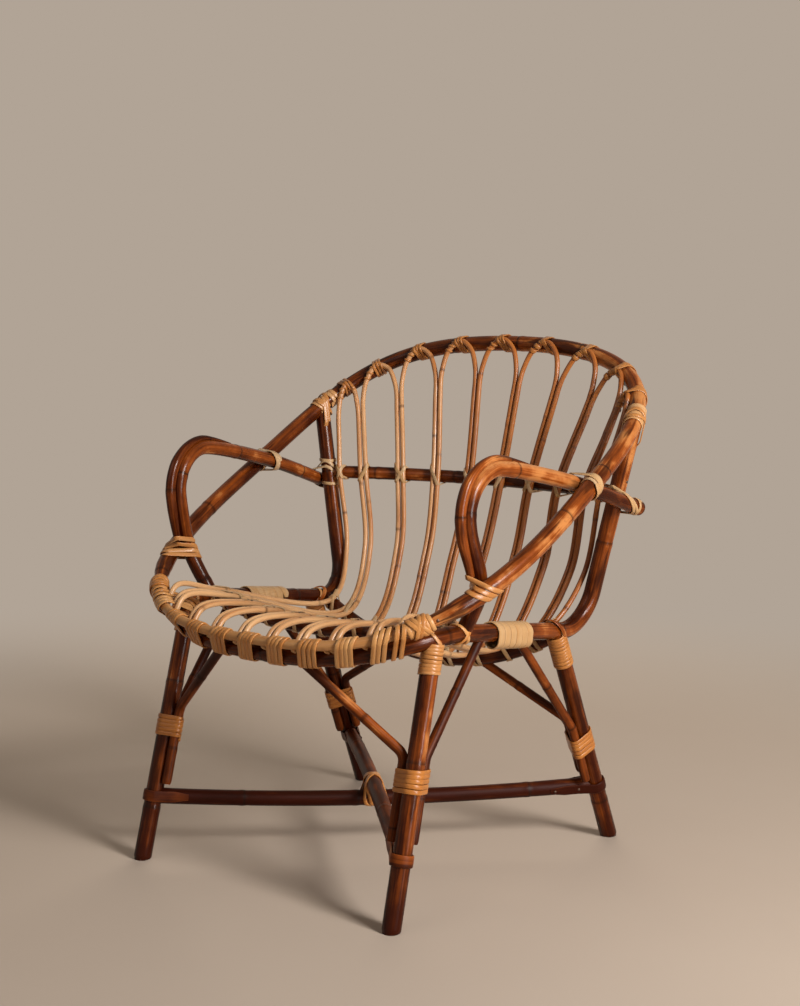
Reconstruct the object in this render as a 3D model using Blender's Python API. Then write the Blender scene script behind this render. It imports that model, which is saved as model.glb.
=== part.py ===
"""Rattan armchair: bent poles, long hairpin canes and split-cane bindings.

Metres, +Z up, the front faces -Y and the feet stand on z = 0.
Each pole is a line of points swept to a tube. Lines are worked out first, from the sizes below,
and a piece that rests on another takes its place from that piece's line and radius.
"""

import math

import bmesh
import bpy
import numpy as np
from mathutils import Matrix

for old in list(bpy.data.objects):
    bpy.data.objects.remove(old)

# Radii of the poles
RIM_R = 0.0125
FRAME_R = 0.0125
LEG_R = 0.0130
ARM_R = 0.0110
ARM_CANE_R = 0.0075
CROSS_R = 0.0105
REAR_R = 0.0105
MIDDLE_R = 0.0095
STRETCHER_R = 0.0115
BRACE_R = 0.0070
BAR_R = 0.0070
CANE_R = 0.0041

# Gaps left between pieces that touch
FIT = 0.0003
CANE_FIT = 0.0003
COPE = 0.55  # a coped end reaches this share of a radius past the axis of the pole it meets
CHORD = 0.0008  # how far a straight step of a pole may cut inside its curve
CANE_CHORD = 0.0016  # the same for a hairpin cane
WRAP_CHORD = 0.0013  # the same for a binding

# The hoop: rim and front bar follow one closed line, tilted forward and crowned at the back
HOOP_HALF_WIDTH = 0.311
HOOP_WIDEST_Y = 0.022
HOOP_BACK_Y = 0.307
HOOP_FRONT_Y = -0.310
HOOP_BACK_POWER = 3.8
HOOP_FRONT_POWER = 2.85
HOOP_FRONT_Z = 0.359
HOOP_SLOPE = 0.5584
HOOP_CROWN = 0.0535
RIM_END_Y = -0.243  # the rim ends here and the bar carries on
RIM_TAPER = 0.055

# Seat frame
SEAT_HALF_WIDTH = 0.232
SEAT_Z = 0.357  # at the splices
SEAT_SLOPE = 0.125  # the side rails fall towards the back
SEAT_CORNER_Y = -0.138
SEAT_FRONT_POWER = 2.6
PINCH = math.radians(45)  # the bar lies this far above the front rail, seen along the rail
SPLICE_Y = -0.030
POST_FOOT_Y = 0.174
POST_TOP_Y = 0.193
POST_BEND_R = 0.060
REAR_RAIL_Y = 0.124
REAR_RAIL_SAG = 0.072
MIDDLE_RAIL_Y = -0.143
MIDDLE_RAIL_BOW = 0.040
MIDDLE_RAIL_Z = 0.371
MIDDLE_RAIL_SAG = 0.014
MIDDLE_RAIL_LAP = 0.010
CROSS_RAIL_Z = 0.538
CROSS_RAIL_BOW = 0.074

# Legs, stretchers and braces
FRONT_FOOT_X = 0.230
FRONT_FOOT_Y = -0.288
FRONT_LEG_TOP_Y = -0.196
REAR_FOOT_X = 0.244
REAR_FOOT_Y = 0.248
REAR_LEG_TOP_Y = 0.094
FOOT_CHAMFER = 0.004
FOOT_SHARE = 0.55  # a leg's end would narrow to this share below the floor that cuts it
STRETCHER_Z = 0.090
STRETCHER_BOW = 1.02  # each stretcher bows by this many of its radii to pass the other
STRAP_WIDTH = 0.016
STRAP_THICK = 0.0026
STRAP_TAIL = 0.055
STRAP_FLANK = 0.85  # the strap lies this share of the stretcher's radius out from its axis
STRAP_BEND = 0.4  # it leaves the flank this share of its tail from the leg
STRAP_ROOT = 0.7  # and starts from the stretcher this share along
BRACE_START_Z = 0.110
FRONT_TIE_Z = 0.190
REAR_TIE_Z = 0.166
BRACE_BEND_RISE = 0.030
BRACE_BEND_R = 0.020
FRONT_BRACE_X = 0.066
SIDE_BRACE_FRONT_Y = -0.094
SIDE_BRACE_REAR_Y = -0.016
REAR_BRACE_X = 0.078

# Arms
ARM_FOOT_Y = -0.140
ARM_FRONT_CROSS_Z = 0.441
ARM_CORNER_Y = -0.206
ARM_CORNER_Z = 0.611
ARM_LEAN = 0.010  # the front bend stands this far inside the line between the two crossings
ARM_CORNER_SHARE = 0.25  # the bend lies this far along that line
ARM_BEND_R = 0.062
ARM_REAR_CROSS_Z = 0.562
ARM_END_Z = 0.530
ARM_TAIL = 0.028
ARM_CANE_START_Z = 0.474
ARM_CANE_END_Y = -0.096
ARM_CANE_TAPER = 0.070
ARM_CANE_TIP = 0.35  # the cane's end is pared to this share of its size

# Hairpin canes
HAIRPINS = 9
EDGE_PLACE = 0.4  # the outermost strands stand this far inside the next pair's place
FRONT_ROOM = 0.0275  # from the bar's end to the outermost strand
RAIL_ROOM = 2.0  # between a seat rail or low post and the outermost strand, in cane radii
SNUG_ROOM = 1.6  # the same at the rear rail and the cross rail
ARCH_ROOM = 4.0  # the same under the rim
CANE_TUCK = 0.004
CANE_APPROACH = 0.030
LOW_BACK_Z = 0.415
LOW_BACK_SHARE = 0.62  # the canes' low bend lies this far back, from rear rail to cross rail
LOW_BACK_SPREAD = 0.08  # and this much further for each place out from the middle
LOW_BACK_MOST = 0.92
ARCH_HEIGHT = 0.060
REAR_LEAN = math.radians(20)

# Bindings of split cane
STRIP_WIDTH = 0.0056
STRIP_THICK = 0.0020
STRIP_PITCH = 0.0066
HAIRPIN_PITCH = 0.0074
HAIRPIN_ASIDE = 0.010  # the outermost arches are bound beside their top, clear of the steep strand
HAIRPIN_HOLD = 0.013  # how far along the arch, each way, its binding takes hold
SPLICE_WIDTH = 0.0135
SPLICE_PITCH = 0.0145
STRAND_R = 0.0021
STRAND_PITCH = 0.0050
EDGE_PITCH = 0.0058
LEG_TOP_TURNS = 6
LEG_TOP_GAP = 0.0095
LEG_TIE_TURNS = 4
SPLICE_TURNS = 6
ARM_TURNS = 3
HAIRPIN_TURNS = 2
CROSSING_TURNS = 2
EDGE_TURNS = 2

X = np.array((1.0, 0.0, 0.0))
Y = np.array((0.0, 1.0, 0.0))
UP = np.array((0.0, 0.0, 1.0))


def unit(way):
    return way / np.linalg.norm(way)


def square_to(way, axis):
    """The part of a direction that is square to an axis, as a unit vector."""
    return unit(way - (way @ axis) * axis)


def mirrored(line):
    return np.asarray(line) * (-1.0, 1.0, 1.0)


def on_side(line, side):
    return np.asarray(line) if side > 0 else mirrored(line)


def simplified(line, within):
    """The fewest of these points that keep to the line within a distance."""
    if len(line) < 3:
        return line
    span = line[-1] - line[0]
    along = unit(span)
    offset = line - line[0]
    away = np.linalg.norm(offset - np.outer(offset @ along, along), axis=1)
    far = int(away.argmax())
    if away[far] <= within:
        return line[[0, -1]]
    return np.vstack((simplified(line[: far + 1], within)[:-1], simplified(line[far:], within)))


def lengths(line):
    return np.concatenate(([0.0], np.cumsum(np.linalg.norm(np.diff(line, axis=0), axis=1))))


def at_length(line, length):
    run = lengths(line)
    return np.array([np.interp(length, run, line[:, i]) for i in range(3)])


def length_where(line, axis, value):
    """Length along a line to where one coordinate, which only grows or only shrinks, has a value."""
    keys = line[:, axis]
    order = 1 if keys[-1] > keys[0] else -1
    return float(np.interp(value, keys[::order], lengths(line)[::order]))


def where(line, axis, value):
    return at_length(line, length_where(line, axis, value))


def heading(line, length, step=0.004):
    return unit(at_length(line, length + step) - at_length(line, length - step))


def nearest_length(line, spot):
    start = line[:-1]
    span = np.diff(line, axis=0)
    share = np.clip(((spot - start) * span).sum(axis=1) / (span**2).sum(axis=1), 0.0, 1.0)
    gaps = np.linalg.norm(start + share[:, None] * span - spot, axis=1)
    best = int(gaps.argmin())
    return float(lengths(line)[best] + share[best] * np.linalg.norm(span[best]))


def nearest(line, spot):
    return at_length(line, nearest_length(line, spot))


def part_of(line, start, end):
    """The stretch of a line between two lengths."""
    run = lengths(line)
    inner = line[(run > start + 1e-6) & (run < end - 1e-6)]
    return np.vstack((at_length(line, start), inner, at_length(line, end)))


def rounded(corners, radius, steps=14):
    """A line of straight runs with each inner corner bent to a radius."""
    points = [corners[0]]
    for before, corner, after in zip(corners, corners[1:], corners[2:]):
        way_in = unit(corner - before)
        way_out = unit(after - corner)
        turn = math.acos(float(np.clip(way_in @ way_out, -1.0, 1.0)))
        room = 0.9 * min(np.linalg.norm(corner - before), np.linalg.norm(after - corner))
        bend = min(radius, room / math.tan(turn / 2))
        start = corner - way_in * bend * math.tan(turn / 2)
        inward = square_to(way_out, way_in)
        for step in range(steps + 1):
            angle = turn * step / steps
            points.append(start + bend * (inward * (1 - math.cos(angle)) + way_in * math.sin(angle)))
    points.append(corners[-1])
    return np.array(points)


def flowing(knots, within=CHORD, steps=16):
    """A smooth line through every knot (centripetal Catmull-Rom), each knot kept as a point."""
    knots = np.asarray(knots)
    before = 2 * knots[0] - knots[1]
    after = 2 * knots[-1] - knots[-2]
    padded = np.vstack((before, knots, after))
    points = [knots[:1]]
    for i in range(len(knots) - 1):
        a, b, c, d = padded[i : i + 4]
        t1 = np.linalg.norm(b - a) ** 0.5
        t2 = t1 + np.linalg.norm(c - b) ** 0.5
        t3 = t2 + np.linalg.norm(d - c) ** 0.5
        t = np.linspace(t1, t2, steps + 1)[:, None]
        ab = (t1 - t) / t1 * a + t / t1 * b
        bc = (t2 - t) / (t2 - t1) * b + (t - t1) / (t2 - t1) * c
        cd = (t3 - t) / (t3 - t2) * c + (t - t2) / (t3 - t2) * d
        abc = (t2 - t) / t2 * ab + t / t2 * bc
        bcd = (t3 - t) / (t3 - t1) * bc + (t - t1) / (t3 - t1) * cd
        run = (t2 - t) / (t2 - t1) * abc + (t - t1) / (t2 - t1) * bcd
        points.append(simplified(run, within)[1:])
    return np.vstack(points)


def superellipse(turn, half_width, depth, power):
    reach = (abs(math.cos(turn)) / half_width) ** power + (abs(math.sin(turn)) / depth) ** power
    reach = reach ** (-1 / power)
    return reach * math.cos(turn), reach * math.sin(turn)


def hoop_spot(turn):
    """Right half of the hoop: turn runs from the back centre, over the right side, to the front."""
    at_back = turn >= 0
    depth = HOOP_BACK_Y - HOOP_WIDEST_Y if at_back else HOOP_WIDEST_Y - HOOP_FRONT_Y
    x, y = superellipse(turn, HOOP_HALF_WIDTH, depth, HOOP_BACK_POWER if at_back else HOOP_FRONT_POWER)
    y += HOOP_WIDEST_Y
    z = HOOP_FRONT_Z + HOOP_SLOPE * (y - HOOP_FRONT_Y)
    if at_back:
        z += HOOP_CROWN * max(0.0, 1 - (x / HOOP_HALF_WIDTH) ** 2) ** 0.75
    return x, y, z


# The hoop's line, split into rim and bar
hoop_half = np.array([hoop_spot(turn) for turn in np.linspace(math.pi / 2, -math.pi / 2, 721)])
hoop_half[[0, -1], 0] = 0.0
rim_length = length_where(hoop_half, 1, RIM_END_Y)
hoop_length = lengths(hoop_half)[-1]
rim_body = simplified(part_of(hoop_half, 0.0, rim_length - RIM_TAPER), CHORD)
rim_tip = simplified(part_of(hoop_half, rim_length - RIM_TAPER, rim_length - RIM_R), CHORD)
rim_half = np.vstack((rim_body, rim_tip[1:], at_length(hoop_half, rim_length)))
rim_line = np.vstack((rim_half[::-1], mirrored(rim_half)[1:]))
bar_start = at_length(hoop_half, rim_length + 2 * FIT)
bar_half = simplified(part_of(hoop_half, rim_length + RIM_R, hoop_length), CHORD)
bar_half = np.vstack((bar_start, bar_half))
bar_line = np.vstack((bar_half, mirrored(bar_half)[::-1][1:]))


def rim_place(length):
    """Rim axis, its direction and the level way inward, at a length from the back centre."""
    spot = at_length(rim_half, abs(length))
    along = heading(rim_half, abs(length))
    inward = square_to(np.array((-spot[0], HOOP_WIDEST_Y - spot[1], 0.0)), along)
    if length < 0:
        return mirrored(spot), mirrored(along), mirrored(inward)
    return spot, along, inward


# The front seat rail: straight at the sides, bent round the front below and behind the bar
STACK = FRAME_R + 2 * CANE_R + BAR_R + 2 * CANE_FIT
front_rail_y = HOOP_FRONT_Y + STACK * math.cos(PINCH)
front_rail_z = HOOP_FRONT_Z - STACK * math.sin(PINCH)
corner_depth = SEAT_CORNER_Y - front_rail_y


def side_rail(y):
    """A point on the right side rail's straight axis."""
    return np.array((SEAT_HALF_WIDTH, y, SEAT_Z - SEAT_SLOPE * (y - SPLICE_Y)))


front_drop = side_rail(front_rail_y)[2] - front_rail_z
seat_points = []
for turn in np.linspace(0.0, -math.pi / 2, 181):
    x, y = superellipse(turn, SEAT_HALF_WIDTH, corner_depth, SEAT_FRONT_POWER)
    side = side_rail(SEAT_CORNER_Y + y)
    seat_points.append((x, side[1], side[2] - front_drop * (y / corner_depth) ** 2))
seat_half = np.vstack((side_rail(SPLICE_Y - FIT / 2), simplified(np.array(seat_points), CHORD)))
seat_half[-1, 0] = 0.0
seat_line = np.vstack((seat_half, mirrored(seat_half)[::-1][1:]))

# The back posts, shown for the right side: side rail, bend, straight up to the rim
post_top = where(rim_half, 1, POST_TOP_Y)
post_knee = side_rail(POST_FOOT_Y)
post_way = unit(post_top - post_knee)
post_start = side_rail(SPLICE_Y + FIT / 2)
post_end = post_top - post_way * COPE * RIM_R
post_line = simplified(rounded([post_start, post_knee, post_end], POST_BEND_R), CHORD)


def post_at(z):
    return post_knee + post_way * (z - post_knee[2]) / post_way[2]


# Rails between the posts
cross_end = post_at(CROSS_RAIL_Z)
rear_end = nearest(post_line, side_rail(REAR_RAIL_Y))
middle_end_x = SEAT_HALF_WIDTH - MIDDLE_RAIL_LAP
across = np.linspace(1.0, -1.0, 41)
cross_line = simplified(
    np.array([cross_end * (s, 1.0, 1.0) + Y * CROSS_RAIL_BOW * (1 - s * s) for s in across]), CHORD
)
rear_line = simplified(
    np.array([rear_end * (s, 1.0, 1.0) - UP * REAR_RAIL_SAG * (1 - s * s) for s in across]), CHORD
)
middle_line = simplified(
    np.array(
        [
            (
                middle_end_x * s,
                MIDDLE_RAIL_Y - MIDDLE_RAIL_BOW * (1 - s * s),
                MIDDLE_RAIL_Z - MIDDLE_RAIL_SAG * (1 - s * s),
            )
            for s in across
        ]
    ),
    CHORD,
)

# Legs
front_leg_top = where(seat_half, 1, FRONT_LEG_TOP_Y)
rear_leg_top = side_rail(REAR_LEG_TOP_Y)
LEGS = {
    "front": (np.array((FRONT_FOOT_X, FRONT_FOOT_Y, 0.0)), front_leg_top),
    "rear": (np.array((REAR_FOOT_X, REAR_FOOT_Y, 0.0)), rear_leg_top),
}


def leg_way(which):
    foot, top = LEGS[which]
    return unit(top - foot)


def leg_at(which, z):
    foot, _ = LEGS[which]
    way = leg_way(which)
    return foot + way * z / way[2]


# Arms, shown for the right side
front_cross, front_cross_way, front_cross_in = rim_place(length_where(rim_half, 2, ARM_FRONT_CROSS_Z))
rear_cross, rear_cross_way, rear_cross_in = rim_place(length_where(rim_half, 2, ARM_REAR_CROSS_Z))
arm_front = front_cross + front_cross_in * (RIM_R + ARM_R + 2 * FIT + CHORD)
arm_rear = rear_cross + rear_cross_in * (RIM_R + ARM_R + 2 * FIT + CHORD)
arm_foot = where(seat_half, 1, ARM_FOOT_Y)
arm_corner_x = arm_front[0] + ARM_CORNER_SHARE * (arm_rear[0] - arm_front[0]) - ARM_LEAN
arm_corner = np.array((arm_corner_x, ARM_CORNER_Y, ARM_CORNER_Z))
arm_hold = post_at(ARM_END_Z) + square_to(X, post_way) * (FRAME_R + ARM_R + FIT)
arm_end = arm_hold + unit(arm_hold - arm_rear) * ARM_TAIL
arm_bend = rounded([arm_front, arm_corner, arm_rear], ARM_BEND_R, 5)
arm_fine = flowing([arm_foot, *arm_bend, arm_hold, arm_end], 0.0)
arm_line = flowing([arm_foot, *arm_bend, arm_hold, arm_end])

# The thin cane over the front bend of each arm
cane_start = nearest_length(arm_fine, np.array((arm_corner[0], ARM_CORNER_Y, ARM_CANE_START_Z)))
cane_end = nearest_length(arm_fine, np.array((arm_corner[0], ARM_CANE_END_Y, ARM_CORNER_Z)))
arm_cane_points = []
arm_cane_sizes = []
for length in np.linspace(cane_start, cane_end, 60):
    size = ARM_CANE_TIP + (1 - ARM_CANE_TIP) * min(1.0, (cane_end - length) / ARM_CANE_TAPER)
    off = ARM_R + ARM_CANE_R * size + FIT + CHORD
    arm_cane_points.append(at_length(arm_fine, length) + unit(np.cross(X, heading(arm_fine, length))) * off)
    arm_cane_sizes.append(size)
arm_cane_fine = np.array(arm_cane_points)
arm_cane_line = simplified(arm_cane_fine, CHORD)
arm_cane_factors = np.interp(lengths(arm_cane_line), lengths(arm_cane_fine), arm_cane_sizes)

# Places across the chair, counted in canes from the middle: pairs of strands, and a single at each edge
EDGE = HAIRPINS / 2 - EDGE_PLACE
places = [-EDGE, *(k - HAIRPINS / 2 for k in range(1, HAIRPINS)), EDGE]
PAIR = CANE_R + FIT
post_low = post_at(LOW_BACK_Z)
front_pitch = (bar_half[0][0] - FRONT_ROOM) / EDGE
middle_pitch = (SEAT_HALF_WIDTH - FRAME_R - RAIL_ROOM * CANE_R) / EDGE
rear_pitch = (SEAT_HALF_WIDTH - FRAME_R - SNUG_ROOM * CANE_R) / EDGE
low_pitch = (post_low[0] - FRAME_R - RAIL_ROOM * CANE_R) / EDGE
cross_pitch = (cross_end[0] - FRAME_R - SNUG_ROOM * CANE_R) / EDGE
top_pitch = (length_where(rim_half, 1, POST_TOP_Y) - FRAME_R - ARCH_ROOM * CANE_R) / EDGE


def over(line, x, shift, away, gap):
    """A point that clears a rail by a gap, on the side it is told: where the rail passes x, then shifted."""
    length = length_where(line, 0, x)
    along = heading(line, length, 0.012)
    return at_length(line, length) + along * shift / along[0] + square_to(away, along) * gap


def bar_spot(x):
    return where(bar_line, 0, x)


def rim_contact(place, shift):
    spot, along, inward = rim_place(place * top_pitch)
    return spot + inward * (RIM_R + CANE_R + CANE_FIT) + along * shift * np.sign(along[0])


def strand(place, shift):
    """Knots of one strand, from behind the front bar to the foot of its arch."""
    bar = bar_spot(place * front_pitch)
    bar_way = heading(bar_line, nearest_length(bar_line, bar), 0.012)
    pinch_way = square_to(bar - nearest(seat_line, bar), bar_way)
    pinch = bar + bar_way * shift / bar_way[0] - pinch_way * (BAR_R + CANE_R + CANE_FIT)
    down = square_to(-Y - UP, pinch_way)
    down = unit(down * (0.0, 1.0, 1.0))
    middle = over(middle_line, place * middle_pitch, shift, UP, MIDDLE_R + CANE_R + CANE_FIT)
    lean = UP * math.cos(REAR_LEAN) - Y * math.sin(REAR_LEAN)
    rear = over(rear_line, place * rear_pitch, shift, lean, REAR_R + CANE_R + CANE_FIT)
    cross = over(cross_line, place * cross_pitch, shift, -Y, CROSS_R + CANE_R + CANE_FIT)
    share = min(LOW_BACK_MOST, LOW_BACK_SHARE + LOW_BACK_SPREAD * abs(place))
    low = np.array((place * low_pitch + shift, rear[1] + share * (cross[1] - rear[1]), LOW_BACK_Z))
    contact = rim_contact(place, shift)
    rise = unit(contact - cross)
    foot = contact - rise * ARCH_HEIGHT
    straight_to = foot - rise * 0.4 * ARCH_HEIGHT
    seat_knots = [pinch + down * CANE_TUCK, pinch, pinch - down * CANE_APPROACH, middle, rear]
    return [*seat_knots, low, cross, straight_to, foot]


def hairpin(number):
    """One cane: up a strand, over the arch that touches the rim, and down the next strand."""
    first = strand(places[number], 0.0 if number == 0 else PAIR)
    second = strand(places[number + 1], 0.0 if number == HAIRPINS - 1 else -PAIR)
    top = rim_contact((places[number] + places[number + 1]) / 2, 0.0)
    base = (first[-1] + second[-1]) / 2
    arch = []
    for turn in (162, 130, 90, 50, 18):
        swing = (1 + math.cos(math.radians(turn))) / 2
        level = first[-1] + (second[-1] - first[-1]) * swing
        arch.append(level + (top - base) * math.sin(math.radians(turn)))
    return flowing([*first, *arch, *second[::-1]], CANE_CHORD)


hairpin_lines = [hairpin(number) for number in range(HAIRPINS)]

# Collections and finishes
parts = bpy.data.collections.new("rattan_armchair")
cutters = bpy.data.collections.new("cutters")
for group in (parts, cutters):
    bpy.context.scene.collection.children.link(group)

LACQUER = (0.150, 0.048, 0.022), 0.28
CANE = (0.600, 0.380, 0.170), 0.42
BINDING = (0.660, 0.460, 0.190), 0.45
STRAW = (0.720, 0.570, 0.320), 0.50
NATURAL = (0.640, 0.450, 0.240), 0.45


def finished(piece, finish):
    colour, roughness = finish
    material = bpy.data.materials.new(piece.name)
    material.use_nodes = True
    shader = material.node_tree.nodes["Principled BSDF"]
    shader.inputs["Base Color"].default_value = (*colour, 1.0)
    shader.inputs["Roughness"].default_value = roughness
    shader.inputs["Metallic"].default_value = 0.0
    piece.data.materials.clear()
    piece.data.materials.append(material)
    return piece


def curve(name, line, group, factors=None):
    """A curve object through the points, with nothing swept along it yet."""
    data = bpy.data.curves.new(name, "CURVE")
    data.dimensions = "3D"
    data.use_fill_caps = True
    spline = data.splines.new("POLY")
    spline.points.add(len(line) - 1)
    for i, spot in enumerate(line):
        spline.points[i].co = (*spot, 1.0)
        spline.points[i].radius = 1.0 if factors is None else float(factors[i])
    piece = bpy.data.objects.new(name, data)
    group.objects.link(piece)
    return piece


def tube(name, line, radius, sides, finish, factors=None):
    piece = curve(name, line, parts, factors)
    piece.data.bevel_depth = radius
    piece.data.bevel_resolution = sides // 2 - 2
    return finished(piece, finish)


def as_mesh(piece):
    """The same piece as a mesh, with the swept sides and caps joined up, for a Boolean to cut."""
    name = piece.name
    group = piece.users_collection[0]
    bpy.context.view_layer.update()
    mesh = bpy.data.meshes.new_from_object(piece.evaluated_get(bpy.context.evaluated_depsgraph_get()))
    place = piece.matrix_world.copy()
    bpy.data.objects.remove(piece)
    shape = bmesh.new()
    shape.from_mesh(mesh)
    bmesh.ops.remove_doubles(shape, verts=shape.verts, dist=1e-6)
    bmesh.ops.recalc_face_normals(shape, faces=shape.faces)
    shape.to_mesh(mesh)
    shape.free()
    mesh.polygons.foreach_set("use_smooth", [True] * len(mesh.polygons))
    mesh.set_sharp_from_angle(angle=math.radians(50))
    mesh.name = name
    solid = bpy.data.objects.new(name, mesh)
    solid.matrix_world = place
    group.objects.link(solid)
    return solid


def helper(piece):
    piece.hide_render = True
    piece.display_type = "WIRE"
    return piece


def cutter(name, line, radius, sides):
    """A pole with room round it, for coping the pieces that meet it."""
    piece = curve(name, line, cutters)
    piece.data.bevel_depth = (radius + FIT) / math.cos(math.pi / sides)
    piece.data.bevel_resolution = sides // 2 - 2
    return helper(as_mesh(piece))


def combine(piece, operation, *others):
    for other in others:
        step = piece.modifiers.new(f"{operation.lower()} {other.name}", "BOOLEAN")
        step.operation = operation
        step.solver = "EXACT"
        step.object = other
    return piece


def coped(name, line, radius, sides, finish, *others, factors=None):
    return combine(as_mesh(tube(name, line, radius, sides, finish, factors)), "DIFFERENCE", *others)


def flat_profile(name, thick, wide):
    """Outline of a flat strip: its thickness faces out from the pole it goes round."""
    data = bpy.data.curves.new(name, "CURVE")
    data.dimensions = "2D"
    spline = data.splines.new("POLY")
    spline.points.add(3)
    for point, (x, y) in zip(spline.points, ((-1, -1), (-1, 1), (1, 1), (1, -1))):
        point.co = (x * thick / 2, y * wide / 2, 0.0, 1.0)
    spline.use_cyclic_u = True
    piece = bpy.data.objects.new(name, data)
    cutters.objects.link(piece)
    return helper(piece)


def frame_of(axis, toward):
    """Two directions square to an axis, and the axis."""
    first = square_to(toward, axis)
    return np.array((first, np.cross(axis, first), axis))


def strip(name, line, origin, frame, profile, finish):
    """A flat strip whose width runs along the frame's axis."""
    piece = curve(name, (line - origin) @ frame.T, parts)
    piece.data.twist_mode = "Z_UP"
    piece.data.bevel_mode = "OBJECT"
    piece.data.bevel_object = profile
    place = np.eye(4)
    place[:3, :3] = frame.T
    place[:3, 3] = origin
    piece.matrix_world = Matrix(place.tolist())
    return finished(piece, finish)


def near(line, origin, reach, step=0.0012):
    """The stretch of a line close to a point, in small steps."""
    middle = nearest_length(line, origin)
    start = max(0.0, middle - reach)
    end = min(lengths(line)[-1], middle + reach)
    return np.array([at_length(line, length) for length in np.arange(start, end, step)])


def taut(poles, origin, frame, angle, clear):
    """Where a taut loop round the poles lies, in the plane through the origin, at one angle."""
    way = np.array((math.cos(angle), math.sin(angle)))
    best = -1.0
    spot = None
    for line, radius in poles:
        local = (line - origin) @ frame.T
        ring = (radius + clear) ** 2 - local[:, 2] ** 2
        within = ring > 0
        if not within.any():
            continue
        ring = np.sqrt(ring[within])
        flat = local[within][:, :2]
        push = flat @ way + ring
        most = int(push.argmax())
        if push[most] > best:
            best = push[most]
            spot = flat[most] + ring[most] * way
    return origin + spot @ frame[:2]


def wound(poles, place_at, turns, pitch, clear, start=0.0, side=1, reach=0.07, per_turn=48):
    """The line of a helix pulled tight round some poles. place_at(level) gives each loop's plane."""
    middle, _ = place_at(0.0)
    close = [(near(line, middle, reach), radius) for line, radius in poles]
    shares = np.linspace(0.0, 1.0, turns * per_turn + 1)
    advance = shares
    for _ in range(2):
        points = []
        for share, ahead in zip(shares, advance):
            origin, frame = place_at((ahead - 0.5) * turns * pitch)
            angle = start + side * 2 * math.pi * turns * share
            points.append(taut(close, origin, frame, angle, clear + 0.8 * WRAP_CHORD))
        line = np.array(points)
        advance = lengths(line) / lengths(line)[-1]
    return line


def least_gap(name, line, per_turn, size):
    """Prints the least gap of a binding to itself, measured on its points."""
    gap = 1.0
    for i in range(len(line)):
        others = line[i + per_turn // 2 :]
        if len(others):
            gap = min(gap, np.linalg.norm(others - line[i], axis=1).min())
    print(f"{name}: least gap to itself {(gap - size) * 1000:.2f} mm")


def straight(origin, frame):
    """Planes of a winding's loops, square to a straight axis."""
    return lambda level: (origin + frame[2] * level, frame)


strip_profile = flat_profile("strip_profile", STRIP_THICK, STRIP_WIDTH)
splice_profile = flat_profile("splice_profile", STRIP_THICK, SPLICE_WIDTH)
strap_profile = flat_profile("strap_profile", STRAP_THICK, STRAP_WIDTH)
LEG_STRIP = strip_profile, STRIP_WIDTH, STRIP_PITCH, BINDING
ARCH_STRIP = strip_profile, STRIP_WIDTH, HAIRPIN_PITCH, BINDING
SPLICE_STRIP = splice_profile, SPLICE_WIDTH, SPLICE_PITCH, STRAW


def bound(name, poles, origin, axis, toward, turns, side=1, split_cane=LEG_STRIP, reach=0.07):
    """A binding of flat strip round poles that run the same way."""
    frame = frame_of(axis, toward)
    profile, width, pitch, finish = split_cane
    place_at = straight(origin, frame)
    line = wound(poles, place_at, turns, pitch, STRIP_THICK / 2 + FIT, side=side, reach=reach)
    least_gap(name, line, 48, width)
    line = line[::6] if len(poles) == 1 else simplified(line, WRAP_CHORD)
    strip(name, line, origin, frame, profile, finish)


def lashed(name, poles, origin, axis, toward, turns, side=1):
    """A binding of round strand where poles cross: its loops lie midway between the two."""
    frame = frame_of(axis, toward)
    line = wound(poles, straight(origin, frame), turns, STRAND_PITCH, STRAND_R + FIT, side=side)
    least_gap(name, line, 48, 2 * STRAND_R)
    tube(name, simplified(line, WRAP_CHORD), STRAND_R, 4, BINDING)


# Poles of the hoop and seat frame
rim_run = lengths(rim_line)
rim_ends = np.minimum(rim_run, rim_run[-1] - rim_run)
rim_factors = np.interp(rim_ends, (0.0, RIM_TAPER), (BAR_R / RIM_R, 1.0))
tube("rim_arch", rim_line, RIM_R, 10, LACQUER, rim_factors)
tube("front_bar", bar_line, BAR_R, 8, NATURAL)
tube("front_seat_rail", seat_line, FRAME_R, 10, LACQUER)

rim_cutter = cutter("rim_cutter", rim_line, RIM_R, 16)
seat_cutter = cutter("seat_cutter", seat_line, FRAME_R, 16)
rear_cutter = cutter("rear_cutter", rear_line, REAR_R, 12)
floor_mesh = bpy.data.meshes.new("floor_cutter")
floor_shape = bmesh.new()
bmesh.ops.create_cube(floor_shape, size=1.0, matrix=Matrix.Translation((0.0, 0.0, -0.5)))
floor_shape.to_mesh(floor_mesh)
floor_shape.free()
floor_cutter = helper(bpy.data.objects.new("floor_cutter", floor_mesh))
cutters.objects.link(floor_cutter)

SIDES = {"right": 1, "left": -1}
SPLICE_REACH = 0.5 * (SPLICE_TURNS * SPLICE_PITCH + SPLICE_WIDTH) + FIT
splice_run = np.array((side_rail(SPLICE_Y - SPLICE_REACH), side_rail(SPLICE_Y + SPLICE_REACH)))
splice_way = unit(splice_run[1] - splice_run[0])
splice_core = FRAME_R + 2 * FIT  # the wide strip is less supple and stands off the pole a little
splice_r = splice_core + STRIP_THICK + WRAP_CHORD + FIT
post_cutters = {}
splice_cutters = {}
leg_cutters = {}
for word, side in SIDES.items():
    coped(f"back_post_{word}", on_side(post_line, side), FRAME_R, 10, LACQUER, rim_cutter)
    post_cutters[word] = cutter(f"post_cutter_{word}", on_side(post_line, side), FRAME_R, 16)
    splice_cutters[word] = cutter(f"splice_cutter_{word}", on_side(splice_run, side), splice_r, 16)
for name, line, radius in (
    ("back_cross_rail", cross_line, CROSS_R),
    ("rear_seat_rail", rear_line, REAR_R),
):
    coped(name, line, radius, 8, LACQUER, post_cutters["right"], post_cutters["left"])
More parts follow.
